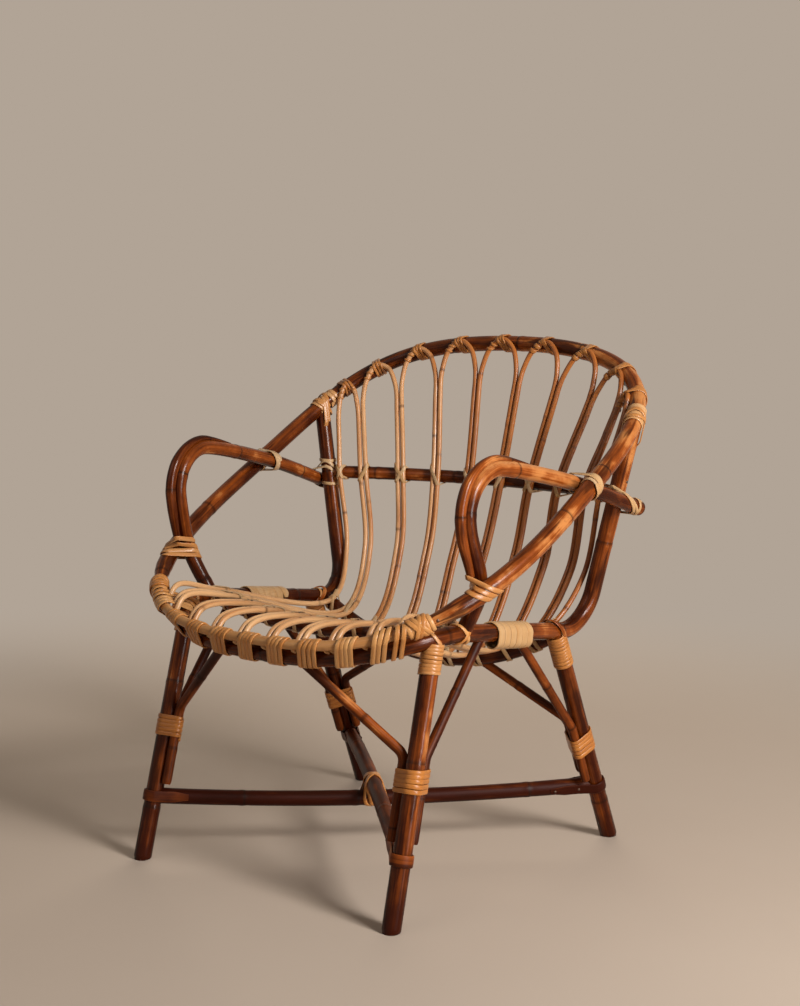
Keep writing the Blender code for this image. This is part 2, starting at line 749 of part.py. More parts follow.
coped("middle_seat_rail", middle_line, MIDDLE_R, 8, LACQUER, seat_cutter)

# Legs, flat on the floor and saddled to the seat frame
for which, (foot, top) in LEGS.items():
    way = leg_way(which)
    line = np.array(
        (
            leg_at(which, -3 * FOOT_CHAMFER),
            leg_at(which, FOOT_CHAMFER),
            leg_at(which, 0.5 * top[2]),
            top - way * COPE * FRAME_R,
        )
    )
    for word, side in SIDES.items():
        saddle = seat_cutter if which == "front" else post_cutters[word]
        factors = (FOOT_SHARE, 1.0, 1.0, 1.0)
        piece = on_side(line, side)
        coped(f"leg_{which}_{word}", piece, LEG_R, 12, LACQUER, floor_cutter, saddle, factors=factors)
        leg_cutters[which, word] = cutter(f"leg_cutter_{which}_{word}", piece[1:], LEG_R, 16)

# Crossed stretchers: each end is flattened to a strap that goes round its leg and lies back
front_joint = leg_at("front", STRETCHER_Z)
rear_joint = leg_at("rear", STRETCHER_Z)
lift = STRETCHER_BOW * STRETCHER_R + FIT


def stretcher_line(side, rise):
    """From a front leg to the rear leg across, bowed to pass the other stretcher."""
    ends = np.array((on_side(front_joint, side), on_side(rear_joint, -side)))
    shares = np.linspace(0.0, 1.0, 9)
    return np.array([ends[0] + (ends[1] - ends[0]) * s + UP * rise * 4 * s * (1 - s) for s in shares])


def strap_line(joint, axis, along):
    """Round the far side of a leg, from one flank of the stretcher to the other."""
    frame = frame_of(axis, along)
    reach = LEG_R + FIT + STRAP_THICK / 2 + WRAP_CHORD
    flank = STRAP_FLANK * STRETCHER_R
    flat = [(STRAP_TAIL, flank), (STRAP_BEND * STRAP_TAIL, flank)]
    for turn in range(80, 281, 25):
        flat.append((reach * math.cos(math.radians(turn)), reach * math.sin(math.radians(turn))))
    flat += [(STRAP_BEND * STRAP_TAIL, -flank), (STRAP_ROOT * STRAP_TAIL, -flank)]
    return joint + np.array(flat) @ frame[:2], frame


stretcher_lines = {}
for name, side, rise in (("stretcher_low", -1, -lift), ("stretcher_high", 1, lift)):
    line = stretcher_line(side, rise)
    stretcher_lines[name] = line
    straps = []
    words = ("right", "left") if side > 0 else ("left", "right")
    for end, which in ((0, "front"), (-1, "rear")):
        leg_side = side if which == "front" else -side
        axis = on_side(leg_way(which), leg_side)
        inner = line[1] - line[0] if end == 0 else line[-2] - line[-1]
        strap, frame = strap_line(line[end], axis, unit(inner))
        piece = strip(f"strap_{name}_{which}", strap, line[end], frame, strap_profile, LACQUER)
        cutters.objects.link(piece)
        parts.objects.unlink(piece)
        straps.append(helper(as_mesh(piece)))
    piece = as_mesh(tube(name, line, STRETCHER_R, 10, LACQUER))
    combine(piece, "UNION", *straps)
    combine(piece, "DIFFERENCE", leg_cutters["front", words[0]], leg_cutters["rear", words[1]])

# Braces: lashed along a leg, then bent away to a rail
brace_off = LEG_R + BRACE_R + FIT
BRACES = (
    ("brace_front", "front", -X, where(seat_half, 0, FRONT_BRACE_X)),
    ("brace_side_front", "front", Y, where(seat_half, 1, SIDE_BRACE_FRONT_Y)),
    ("brace_side_rear", "rear", -Y, side_rail(SIDE_BRACE_REAR_Y)),
    ("brace_rear", "rear", -X, where(rear_line, 0, REAR_BRACE_X)),
)
brace_lines = {}
for name, which, away, top in BRACES:
    tie_z = FRONT_TIE_Z if which == "front" else REAR_TIE_Z
    off = square_to(away, leg_way(which)) * brace_off
    start = leg_at(which, BRACE_START_Z) + off
    bend = leg_at(which, tie_z + BRACE_BEND_RISE) + off
    brace_lines[name] = simplified(rounded([start, bend, top], BRACE_BEND_R), CHORD)
    for word, side in SIDES.items():
        saddle = {
            "brace_front": seat_cutter,
            "brace_side_front": seat_cutter,
            "brace_side_rear": splice_cutters[word],
            "brace_rear": rear_cutter,
        }[name]
        coped(f"{name}_{word}", on_side(brace_lines[name], side), BRACE_R, 8, LACQUER, saddle)

# Arms
for word, side in SIDES.items():
    coped(f"arm_hoop_{word}", on_side(arm_line, side), ARM_R, 10, LACQUER, seat_cutter)
    tube(f"arm_cane_{word}", on_side(arm_cane_line, side), ARM_CANE_R, 8, LACQUER, arm_cane_factors)

# Hairpin canes
for number, line in enumerate(hairpin_lines):
    tube(f"hairpin_cane_{number + 1}", line, CANE_R, 6, CANE)

# Bindings round poles that run together
for word, side in SIDES.items():
    for which, (foot, top) in LEGS.items():
        way = leg_way(which)
        leg = np.array((foot, top))
        axis = on_side(way, side)
        down = FRAME_R + LEG_TOP_GAP + LEG_TOP_TURNS * STRIP_PITCH / 2
        spot = on_side(top - way * down, side)
        poles = [(on_side(leg, side), LEG_R)]
        bound(f"binding_leg_{which}_{word}", poles, spot, axis, side * X, LEG_TOP_TURNS, side)
        tie_z = FRONT_TIE_Z if which == "front" else REAR_TIE_Z
        names = [name for name, leg_word, _, _ in BRACES if leg_word == which]
        poles = [(on_side(leg, side), LEG_R)]
        poles += [(on_side(brace_lines[name], side), BRACE_R) for name in names]
        spot = on_side(leg_at(which, tie_z), side)
        bound(f"binding_braces_{which}_{word}", poles, spot, axis, side * X, LEG_TIE_TURNS, side)
    spot = on_side(side_rail(SPLICE_Y), side)
    poles = [(on_side(splice_run, side), splice_core)]
    bound(f"binding_splice_{word}", poles, spot, splice_way, side * X, SPLICE_TURNS, side, SPLICE_STRIP)

for number, line in enumerate(hairpin_lines):
    place = (places[number] + places[number + 1]) / 2
    aside = HAIRPIN_ASIDE if abs(place) > HAIRPINS / 2 - 1 else 0.0
    spot, along, inward = rim_place(place * top_pitch + math.copysign(aside, place))
    middle = spot + inward * RIM_R / 2
    poles = [(rim_line, RIM_R), (line, CANE_R + 6 * FIT)]
    way_round = -1 if place > 0 else 1
    name = f"binding_hairpin_{number + 1}"
    bound(name, poles, middle, along, inward, HAIRPIN_TURNS, way_round, ARCH_STRIP, HAIRPIN_HOLD)

# Bindings where poles cross
for word, side in SIDES.items():
    for name, spot, rim_way, hold in (
        ("front", front_cross, front_cross_way, arm_front),
        ("rear", rear_cross, rear_cross_way, arm_rear),
    ):
        arm_way = heading(arm_line, nearest_length(arm_line, hold))
        if arm_way @ rim_way < 0:
            arm_way = -arm_way
        poles = [(on_side(rim_line, 1), RIM_R), (on_side(arm_line, side), ARM_R)]
        poles.append((on_side(arm_cane_line, side), ARM_CANE_R))
        middle = on_side((spot + hold) / 2, side)
        axis = on_side(unit(arm_way + rim_way), side)
        lashed(f"binding_arm_{name}_{word}", poles, middle, axis, side * X, ARM_TURNS, side)

low = stretcher_lines["stretcher_low"]
high = stretcher_lines["stretcher_high"]
crossing = (where(low, 0, 0.0) + where(high, 0, 0.0)) / 2
poles = [(low, STRETCHER_R), (high, STRETCHER_R)]
lashed("binding_stretchers", poles, crossing, Y, X, CROSSING_TURNS)

# The front edge: one strand goes round bar and rail between the canes, and runs on behind the rail
edge_poles = [(bar_line, BAR_R), (seat_line, FRAME_R)]
edge_runs = []


def along_bar(length):
    """Planes of the edge binding's loops, square to the bar near a length along it."""

    def place_at(level):
        origin = at_length(bar_line, length - level)
        along = -heading(bar_line, length - level, 0.012)
        return origin, frame_of(along, origin - nearest(seat_line, origin))

    return place_at


for place in range(int(-EDGE) + 1, int(EDGE)):
    place_at = along_bar(nearest_length(bar_line, bar_spot(place * front_pitch)))
    run = wound(edge_poles, place_at, EDGE_TURNS, EDGE_PITCH, STRAND_R + FIT, math.radians(250))
    edge_runs.append(run)
edge_line = np.vstack(edge_runs)
least_gap("binding_front_edge", edge_line, 48, 2 * STRAND_R)
tube("binding_front_edge", simplified(edge_line, WRAP_CHORD), STRAND_R, 4, BINDING)
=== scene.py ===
"""Looks of a rattan armchair: lacquered poles, golden canes and split-cane bindings.

Metres, +Z up, the front faces -Y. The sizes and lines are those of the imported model, so each pole,
cane and binding lies where its solid is. Every line is swept to a smooth pole or strip.
"""

import math

import bpy
import numpy as np
from mathutils import Matrix, Vector


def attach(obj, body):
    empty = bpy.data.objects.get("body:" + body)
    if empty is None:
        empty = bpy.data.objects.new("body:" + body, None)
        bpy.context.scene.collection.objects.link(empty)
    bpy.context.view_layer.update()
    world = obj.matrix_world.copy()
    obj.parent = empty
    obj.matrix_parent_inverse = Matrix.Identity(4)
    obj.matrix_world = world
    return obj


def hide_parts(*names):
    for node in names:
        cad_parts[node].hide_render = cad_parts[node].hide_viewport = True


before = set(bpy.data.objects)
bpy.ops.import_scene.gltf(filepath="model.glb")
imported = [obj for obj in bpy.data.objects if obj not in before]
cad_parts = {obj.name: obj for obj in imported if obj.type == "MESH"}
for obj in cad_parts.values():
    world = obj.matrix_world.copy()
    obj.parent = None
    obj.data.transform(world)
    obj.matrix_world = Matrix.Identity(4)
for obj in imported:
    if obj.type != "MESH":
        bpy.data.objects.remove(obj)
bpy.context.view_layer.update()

# Radii of the poles
RIM_R = 0.0125
FRAME_R = 0.0125
LEG_R = 0.0130
ARM_R = 0.0110
ARM_CANE_R = 0.0075
CROSS_R = 0.0105
REAR_R = 0.0105
MIDDLE_R = 0.0095
STRETCHER_R = 0.0115
BRACE_R = 0.0070
BAR_R = 0.0070
CANE_R = 0.0041
FIT = 0.0003  # room where two pieces touch
CHORD = 0.0008  # more room where an arm passes the rim
COPE = 0.55  # a back post ends so many rim radii below the rim's axis

# The hoop: rim and front bar follow one closed line, tilted forward and crowned at the back
HOOP_HALF_WIDTH = 0.311
HOOP_WIDEST_Y = 0.022
HOOP_BACK_Y = 0.307
HOOP_FRONT_Y = -0.310
HOOP_BACK_POWER = 3.8
HOOP_FRONT_POWER = 2.85
HOOP_FRONT_Z = 0.359
HOOP_SLOPE = 0.5584
HOOP_CROWN = 0.0535
HOOP_CROWN_POWER = 0.75
RIM_END_Y = -0.243
RIM_TAPER = 0.055

# Seat frame
SEAT_HALF_WIDTH = 0.232
SEAT_Z = 0.357
SEAT_SLOPE = 0.125
SEAT_CORNER_Y = -0.138
SEAT_FRONT_POWER = 2.6
PINCH = math.radians(45)  # how steeply the front seat rail lies below the bar
SPLICE_Y = -0.030
POST_FOOT_Y = 0.174
POST_TOP_Y = 0.193
POST_BEND_R = 0.060
REAR_RAIL_Y = 0.124
REAR_RAIL_SAG = 0.072
MIDDLE_RAIL_Y = -0.143
MIDDLE_RAIL_BOW = 0.040
MIDDLE_RAIL_Z = 0.371
MIDDLE_RAIL_SAG = 0.014
MIDDLE_RAIL_LAP = 0.010
CROSS_RAIL_Z = 0.538
CROSS_RAIL_BOW = 0.074

# Legs, stretchers and braces
FRONT_FOOT = np.array((0.230, -0.288, 0.0))
REAR_FOOT = np.array((0.244, 0.248, 0.0))
FRONT_LEG_TOP_Y = -0.196
REAR_LEG_TOP_Y = 0.094
FOOT_CHAMFER = 0.004
STRETCHER_Z = 0.090
STRAP_WIDTH = 0.016
STRAP_THICK = 0.0026
STRAP_TAIL = 0.072
STRAP_ANGLES = np.radians(range(80, 281, 5))
BRACE_START_Z = 0.110
FRONT_TIE_Z = 0.190
REAR_TIE_Z = 0.166
BRACE_BEND_RISE = 0.030
BRACE_BEND_R = 0.020
FRONT_BRACE_X = 0.066
SIDE_BRACE_FRONT_Y = -0.094
SIDE_BRACE_REAR_Y = -0.016
REAR_BRACE_X = 0.078

# Arms
ARM_FOOT_Y = -0.140
ARM_FRONT_CROSS_Z = 0.441
ARM_CORNER_Y = -0.206
ARM_CORNER_Z = 0.611
ARM_LEAN = 0.010
ARM_CORNER_SHARE = 0.25
ARM_BEND_R = 0.062
ARM_REAR_CROSS_Z = 0.562
ARM_END_Z = 0.530
ARM_TAIL = 0.028
ARM_CANE_START_Z = 0.446
ARM_CANE_END_Y = -0.050
ARM_CANE_TAPER = 0.125
ARM_CANE_TIP = 0.12
ARM_CANE_SINK = 0.0010
ARM_CANE_FOOT = 0.72
ARM_CANE_THINS = 0.050

# Hairpin canes
HAIRPINS = 9
EDGE_PLACE = 0.4  # how much nearer than a whole place the outermost strands are
FRONT_ROOM = 0.0275
RAIL_ROOM = 2.0  # beside the outermost strands, in cane radii, as the next two are
SNUG_ROOM = 1.6
ARCH_ROOM = 4.0
CANE_TUCK = 0.004
CANE_APPROACH = 0.030
LOW_BACK_Z = 0.415
LOW_BACK_SHARE = 0.62
LOW_BACK_SPREAD = 0.08
LOW_BACK_MOST = 0.92
ARCH_HEIGHT = 0.060
ARCH_LEAD = 0.4  # of that height, from a strand's last knot to its arch
ARCH_ANGLES = np.radians((162, 130, 90, 50, 18))
ARCH_RISE = math.radians(24)  # the arches ride up the rim's inner side
REAR_LEAN = math.radians(20)

# Bindings: half widths and half thicknesses of the strips, and the step from turn to turn
STRIP = 0.0026, 0.0011
STRIP_STEP = 0.0051
BROAD_STRIP = 0.0071, 0.0012
BROAD_STEP = 0.0145
BAND = 0.0034, 0.0010
BROAD_BAND = 0.0082, 0.0011
TIE = 0.0026, 0.0009
TIE_REACH = 0.035
RAIL_TIE = 0.0031, 0.0009
LOOP_STEP = 0.004  # of strips that go round only once
LEG_TIE = 0.0032, 0.0011
LEG_TIE_STEP = 0.0063
LEG_TIE_TURNS = 5
LEG_TOPS = {"front": (8, 0.5), "rear": (10, 0.8)}  # turns and their tone
LEG_TOP_DROP = 0.0060  # from the rail's axis to the first turn
LEG_STRAP_DROP = 0.004
LEG_STRAP_LEAN = 0.45
LEG_STRAP_HOLD = 0.020, 0.022  # the stretch of leg under it: depth of its middle, and half length
DARK_STRAP = 0.0034, 0.0012
DARK_STRAP_RISE = 0.0022  # off the rail, to lie on the strap below
DARK_STRAP_LEAN = 0.75
SPLICE_TURNS = 6
SPLICE_REACH = 0.06
SPLICE_PROUD = 0.0008
SPLICE_LAP = 0.0085
ARM_BAND = 0.0050, 0.0010
ARM_WRAP_RISE = 0.004
ARM_END_TIE = 0.017  # from where the arm is held to the post, to the tie round its tail
ARM_FOOT_TIE = 0.009  # in front of the arm's foot
POST_TIE_RISES = 0.020, -0.018  # from the cross rail
POST_HOLD = 0.019  # half the stretch of a post that is tied to the rim
POST_WRAPS = (2, 0.0062), (3, 0.0056)  # turns and step in front of the post, and at it
POST_WRAP_AHEAD = 0.020
POST_WRAP_SHIFT = 0.004
CANE_HOLD = 0.014  # half the stretch of a cane that is tied to a rail or the rim
ARCH_NARROW = 3, 0.0052, (0.0025, 0.0012)  # turns, step and strip on most arches
ARCH_BROAD = 1.4, 0.005, (0.0042, 0.0010)  # and on the arches furthest right
BROAD_ARCHES = 4
ARCH_LEAN = 0.28, 0.13  # in the middle, and more for each place to the right
SHOULDER_STRIP = 0.0018, 0.0008
SHOULDER_STEP = 0.0095
SHOULDER_TURNS = 2.6
SHOULDER_DROP = 0.020  # from an arch's top to the middle of the strip down its shoulder
SHOULDER_ENDS = 0.044, 0.004  # and to the ends of the cane that it is wound on
EDGE_STRIP = 0.0033, 0.0013
EDGE_TURNS = 4
EDGE_STEP = 0.0068
EDGE_LEAN = -0.50
EDGE_START = math.radians(200)
CORNER_TURNS = 6
CORNER_STEP = 0.0060
CORNER_SHIFT = 0.004
CORNER_GROUPS = (0.026, 2, 0.0095), (0.051, 3, 0.0066)  # place, turns and step of each group
STEPS_A_TURN = 60  # points of a strip in one turn
SMOOTHINGS = 4  # of the way that a strip faces

# Nails
NAIL_R = 0.0022
NAIL_HEIGHT = 0.45  # over its radius
RIM_NAILS = -0.020, 0.012  # along the hoop from the rim's end
POST_NAILS = CROSS_RAIL_Z + 0.001, ARM_END_Z + 0.030

# Growth rings: each is a swelling, with a waist and a dark mark a little further along
RING_WIDTH = 0.0045
WAIST_AFTER = 0.008
WAIST_WIDTH = 0.004
MARK_AFTER = 0.0035
MARK_WIDTH = 0.0018

# How finely lines are drawn
HOOP_POINTS = 1441
SEAT_POINTS = 361
RAIL_POINTS = 161
ARM_CANE_POINTS = 120
STRETCHER_POINTS = 61
FLOW_STEPS = 24
POLE_STEP = 0.0025
NEAR_STEP = 0.0006
BROAD_LOOK = 0.012  # half the length that a rail's direction is taken over
BEND_ROOM = 0.9  # share of a straight run that a bend may take
SHARP = math.radians(50)  # edges over this angle aren't smoothed

X = np.array((1.0, 0.0, 0.0))
Y = np.array((0.0, 1.0, 0.0))
UP = np.array((0.0, 0.0, 1.0))
REAR_UP = UP * math.cos(REAR_LEAN) - Y * math.sin(REAR_LEAN)
SIDES = {"right": 1, "left": -1}


# Lines
def unit(way):
    return way / np.linalg.norm(way, axis=-1, keepdims=True)


def square_to(way, axis):
    """The part of a direction that is square to an axis, as a unit vector."""
    return unit(way - (way * axis).sum(axis=-1, keepdims=True) * axis)


def on_side(line, side):
    return np.asarray(line) * (side, 1.0, 1.0)


def lengths(line):
    return np.concatenate(([0.0], np.cumsum(np.linalg.norm(np.diff(line, axis=0), axis=1))))


def at_length(line, length):
    run = lengths(line)
    return np.stack([np.interp(length, run, line[:, i]) for i in range(3)], axis=-1)


def even(line, step):
    """The same line in steps of equal length."""
    total = lengths(line)[-1]
    return at_length(line, np.linspace(0.0, total, max(3, round(total / step) + 1)))


def length_where(line, axis, value):
    """Length along a line to where one coordinate, which only grows or only shrinks, has a value."""
    keys = line[:, axis]
    order = 1 if keys[-1] > keys[0] else -1
    return float(np.interp(value, keys[::order], lengths(line)[::order]))


def where(line, axis, value):
    return at_length(line, length_where(line, axis, value))


def heading(line, length, step=0.004):
    return unit(at_length(line, length + step) - at_length(line, length - step))


def nearest_length(line, spot):
    start = line[:-1]
    span = np.diff(line, axis=0)
    share = np.clip(((spot - start) * span).sum(axis=1) / (span**2).sum(axis=1), 0.0, 1.0)
    gaps = np.linalg.norm(start + share[:, None] * span - spot, axis=1)
    best = int(gaps.argmin())
    return float(lengths(line)[best] + share[best] * np.linalg.norm(span[best]))


def nearest(line, spot):
    return at_length(line, nearest_length(line, spot))


def part_of(line, start, end):
    run = lengths(line)
    inner = line[(run > start + 1e-6) & (run < end - 1e-6)]
    return np.vstack((at_length(line, start), inner, at_length(line, end)))


def both_halves(half):
    return np.vstack((half, on_side(half, -1)[::-1][1:]))


def rounded(corners, radius, steps=40):
    """A line of straight runs with each inner corner bent to a radius."""
    points = [corners[0]]
    for before, corner, after in zip(corners, corners[1:], corners[2:]):
        way_in = unit(corner - before)
        way_out = unit(after - corner)
        turn = math.acos(float(np.clip(way_in @ way_out, -1.0, 1.0)))
        room = BEND_ROOM * min(np.linalg.norm(corner - before), np.linalg.norm(after - corner))
        bend = min(radius, room / math.tan(turn / 2))
        start = corner - way_in * bend * math.tan(turn / 2)
        inward = square_to(way_out, way_in)
        for angle in np.linspace(0.0, turn, steps + 1):
            points.append(start + bend * (inward * (1 - math.cos(angle)) + way_in * math.sin(angle)))
    points.append(corners[-1])
    return np.array(points)


def flowing(knots):
    """A smooth line through every knot (centripetal Catmull-Rom)."""
    knots = np.asarray(knots)
    padded = np.vstack((2 * knots[0] - knots[1], knots, 2 * knots[-1] - knots[-2]))
    points = [knots[:1]]
    for a, b, c, d in zip(padded, padded[1:], padded[2:], padded[3:]):
        t1 = np.linalg.norm(b - a) ** 0.5
        t2 = t1 + np.linalg.norm(c - b) ** 0.5
        t3 = t2 + np.linalg.norm(d - c) ** 0.5
        t = np.linspace(t1, t2, FLOW_STEPS + 1)[1:, None]
        ab = (t1 - t) / t1 * a + t / t1 * b
        bc = (t2 - t) / (t2 - t1) * b + (t - t1) / (t2 - t1) * c
        cd = (t3 - t) / (t3 - t2) * c + (t - t2) / (t3 - t2) * d
        abc = (t2 - t) / t2 * ab + t / t2 * bc
        bcd = (t3 - t) / (t3 - t1) * bc + (t - t1) / (t3 - t1) * cd
        points.append((t2 - t) / (t2 - t1) * abc + (t - t1) / (t2 - t1) * bcd)
    return np.vstack(points)


def superellipse(turn, half_width, depth, power):
    reach = (abs(math.cos(turn)) / half_width) ** power + (abs(math.sin(turn)) / depth) ** power
    reach = reach ** (-1 / power)
    return reach * math.cos(turn), reach * math.sin(turn)


def hoop_spot(turn):
    """Right half of the hoop: turn runs from the back centre, over the right side, to the front."""
    at_back = turn >= 0
    depth = HOOP_BACK_Y - HOOP_WIDEST_Y if at_back else HOOP_WIDEST_Y - HOOP_FRONT_Y
    x, y = superellipse(turn, HOOP_HALF_WIDTH, depth, HOOP_BACK_POWER if at_back else HOOP_FRONT_POWER)
    y += HOOP_WIDEST_Y
    z = HOOP_FRONT_Z + HOOP_SLOPE * (y - HOOP_FRONT_Y)
    if at_back:
        z += HOOP_CROWN * max(0.0, 1 - (x / HOOP_HALF_WIDTH) ** 2) ** HOOP_CROWN_POWER
    return x, y, z


hoop_half = np.array([hoop_spot(turn) for turn in np.linspace(math.pi / 2, -math.pi / 2, HOOP_POINTS)])
hoop_half[[0, -1], 0] = 0.0
rim_length = length_where(hoop_half, 1, RIM_END_Y)
rim_half = part_of(hoop_half, 0.0, rim_length)
bar_half = part_of(hoop_half, rim_length, lengths(hoop_half)[-1])
rim_line = both_halves(rim_half[::-1])
bar_line = both_halves(bar_half)


def rim_place(length):
    """Rim axis, its direction and the level way inward, at a length from the back centre."""
    spot = at_length(rim_half, abs(length))
    along = heading(rim_half, abs(length))
    inward = square_to(np.array((-spot[0], HOOP_WIDEST_Y - spot[1], 0.0)), along)
    side = -1 if length < 0 else 1
    return on_side(spot, side), on_side(along, side), on_side(inward, side)


# The front seat rail lies below and behind the bar
STACK = FRAME_R + 2 * CANE_R + BAR_R + 2 * FIT
front_rail_y = HOOP_FRONT_Y + STACK * math.cos(PINCH)
front_rail_z = HOOP_FRONT_Z - STACK * math.sin(PINCH)
corner_depth = SEAT_CORNER_Y - front_rail_y


def side_rail(y):
    """A point on the right side rail's straight axis, which falls towards the back."""
    return np.array((SEAT_HALF_WIDTH, y, SEAT_Z - SEAT_SLOPE * (y - SPLICE_Y)))


front_drop = side_rail(front_rail_y)[2] - front_rail_z
seat_points = [side_rail(SPLICE_Y)]
for turn in np.linspace(0.0, -math.pi / 2, SEAT_POINTS):
    x, y = superellipse(turn, SEAT_HALF_WIDTH, corner_depth, SEAT_FRONT_POWER)
    side = side_rail(SEAT_CORNER_Y + y)
    seat_points.append((x, side[1], side[2] - front_drop * (y / corner_depth) ** 2))
seat_half = np.array(seat_points)
seat_half[-1, 0] = 0.0
seat_line = both_halves(seat_half)

# Back posts and the rails between them
post_top = where(rim_half, 1, POST_TOP_Y)
post_knee = side_rail(POST_FOOT_Y)
post_way = unit(post_top - post_knee)
post_start = side_rail(SPLICE_Y)
post_line = rounded([post_start, post_knee, post_top - post_way * COPE * RIM_R], POST_BEND_R)


def post_at(z):
    return post_knee + post_way * (z - post_knee[2]) / post_way[2]


cross_end = post_at(CROSS_RAIL_Z)
rear_end = nearest(post_line, side_rail(REAR_RAIL_Y))
middle_end = np.array((SEAT_HALF_WIDTH - MIDDLE_RAIL_LAP, MIDDLE_RAIL_Y, MIDDLE_RAIL_Z))


def bowed(end, bow):
    """A rail from side to side, bowed most at its middle."""
    shares = np.linspace(1.0, -1.0, RAIL_POINTS)
    return np.array([end * (s, 1.0, 1.0) + bow * (1 - s * s) for s in shares])


cross_line = bowed(cross_end, Y * CROSS_RAIL_BOW)
rear_line = bowed(rear_end, -UP * REAR_RAIL_SAG)
middle_line = bowed(middle_end, -Y * MIDDLE_RAIL_BOW - UP * MIDDLE_RAIL_SAG)

LEGS = {
    "front": (FRONT_FOOT, where(seat_half, 1, FRONT_LEG_TOP_Y)),
    "rear": (REAR_FOOT, side_rail(REAR_LEG_TOP_Y)),
}


def leg_way(which):
    foot, top = LEGS[which]
    return unit(top - foot)


def leg_at(which, z):
    way = leg_way(which)
    return LEGS[which][0] + way * z / way[2]


# Arms, shown for the right side
front_cross, front_cross_way, front_cross_in = rim_place(length_where(rim_half, 2, ARM_FRONT_CROSS_Z))
rear_cross, rear_cross_way, rear_cross_in = rim_place(length_where(rim_half, 2, ARM_REAR_CROSS_Z))
ARM_OFF = RIM_R + ARM_R + 2 * FIT + CHORD
arm_front = front_cross + front_cross_in * ARM_OFF
arm_rear = rear_cross + rear_cross_in * ARM_OFF
arm_foot = where(seat_half, 1, ARM_FOOT_Y)
arm_corner_x = arm_front[0] + ARM_CORNER_SHARE * (arm_rear[0] - arm_front[0]) - ARM_LEAN
arm_corner = np.array((arm_corner_x, ARM_CORNER_Y, ARM_CORNER_Z))
arm_hold = post_at(ARM_END_Z) + square_to(X, post_way) * (FRAME_R + ARM_R + FIT)
arm_end = arm_hold + unit(arm_hold - arm_rear) * ARM_TAIL
arm_bend = rounded([arm_front, arm_corner, arm_rear], ARM_BEND_R, 5)
arm_line = flowing([arm_foot, *arm_bend, arm_hold, arm_end])
cane_start = nearest_length(arm_line, np.array((arm_corner[0], ARM_CORNER_Y, ARM_CANE_START_Z)))
cane_end = nearest_length(arm_line, np.array((arm_corner[0], ARM_CANE_END_Y, ARM_CORNER_Z)))
cane_run = np.linspace(cane_start, cane_end, ARM_CANE_POINTS)
cane_fullness = np.minimum(1.0, (cane_end - cane_run) / ARM_CANE_TAPER)
arm_cane_size = ARM_CANE_TIP + (1 - ARM_CANE_TIP) * cane_fullness
arm_cane_off = ARM_R - ARM_CANE_SINK + ARM_CANE_R * arm_cane_size
arm_cane_line = at_length(arm_line, cane_run)
arm_cane_line += unit(np.cross(X, heading(arm_line, cane_run))) * arm_cane_off[:, None]

# Places across the chair, counted in canes from the middle: pairs of strands, and a single at each edge
EDGE = HAIRPINS / 2 - EDGE_PLACE
places = [-EDGE, *(k - HAIRPINS / 2 for k in range(1, HAIRPINS)), EDGE]
PAIR = CANE_R + FIT
front_pitch = (bar_half[0][0] - FRONT_ROOM) / EDGE
middle_pitch = (SEAT_HALF_WIDTH - FRAME_R - RAIL_ROOM * CANE_R) / EDGE
rear_pitch = (SEAT_HALF_WIDTH - FRAME_R - SNUG_ROOM * CANE_R) / EDGE
low_pitch = (post_at(LOW_BACK_Z)[0] - FRAME_R - RAIL_ROOM * CANE_R) / EDGE
cross_pitch = (cross_end[0] - FRAME_R - SNUG_ROOM * CANE_R) / EDGE
top_pitch = (length_where(rim_half, 1, POST_TOP_Y) - FRAME_R - ARCH_ROOM * CANE_R) / EDGE


def over(line, x, shift, away, gap):
    """A point that clears a rail by a gap, where the rail passes x, then shifted along it."""
    length = length_where(line, 0, x)
    along = heading(line, length, BROAD_LOOK)
    return at_length(line, length) + along * shift / along[0] + square_to(away, along) * gap


def rim_contact(place, shift, rise=0.0):
    """Axis of a cane that touches the rim's inner side, or a little above it."""
    spot, along, inward = rim_place(place * top_pitch)
    toward = inward * math.cos(rise) + square_to(UP, along) * math.sin(rise)
    return spot + toward * (RIM_R + CANE_R + FIT) + along * shift * np.sign(along[0])


def strand_knots(place, shift):
    """Knots of one strand, from behind the front bar to the foot of its arch."""
    bar = where(bar_line, 0, place * front_pitch)
    bar_way = heading(bar_line, nearest_length(bar_line, bar), BROAD_LOOK)
    pinch_way = square_to(bar - nearest(seat_line, bar), bar_way)
    pinch = bar + bar_way * shift / bar_way[0] - pinch_way * (BAR_R + CANE_R + FIT)
    down = unit(square_to(-Y - UP, pinch_way) * (0.0, 1.0, 1.0))
    middle = over(middle_line, place * middle_pitch, shift, UP, MIDDLE_R + CANE_R + FIT)
    rear = over(rear_line, place * rear_pitch, shift, REAR_UP, REAR_R + CANE_R + FIT)
    cross = over(cross_line, place * cross_pitch, shift, -Y, CROSS_R + CANE_R + FIT)
    share = min(LOW_BACK_MOST, LOW_BACK_SHARE + LOW_BACK_SPREAD * abs(place))
    low = np.array((place * low_pitch + shift, rear[1] + share * (cross[1] - rear[1]), LOW_BACK_Z))
    contact = rim_contact(place, shift)
    rise = unit(contact - cross)
    foot = contact - rise * ARCH_HEIGHT
    seat_knots = [pinch + down * CANE_TUCK, pinch, pinch - down * CANE_APPROACH, middle, rear]
    return [*seat_knots, low, cross, foot - rise * ARCH_LEAD * ARCH_HEIGHT, foot]


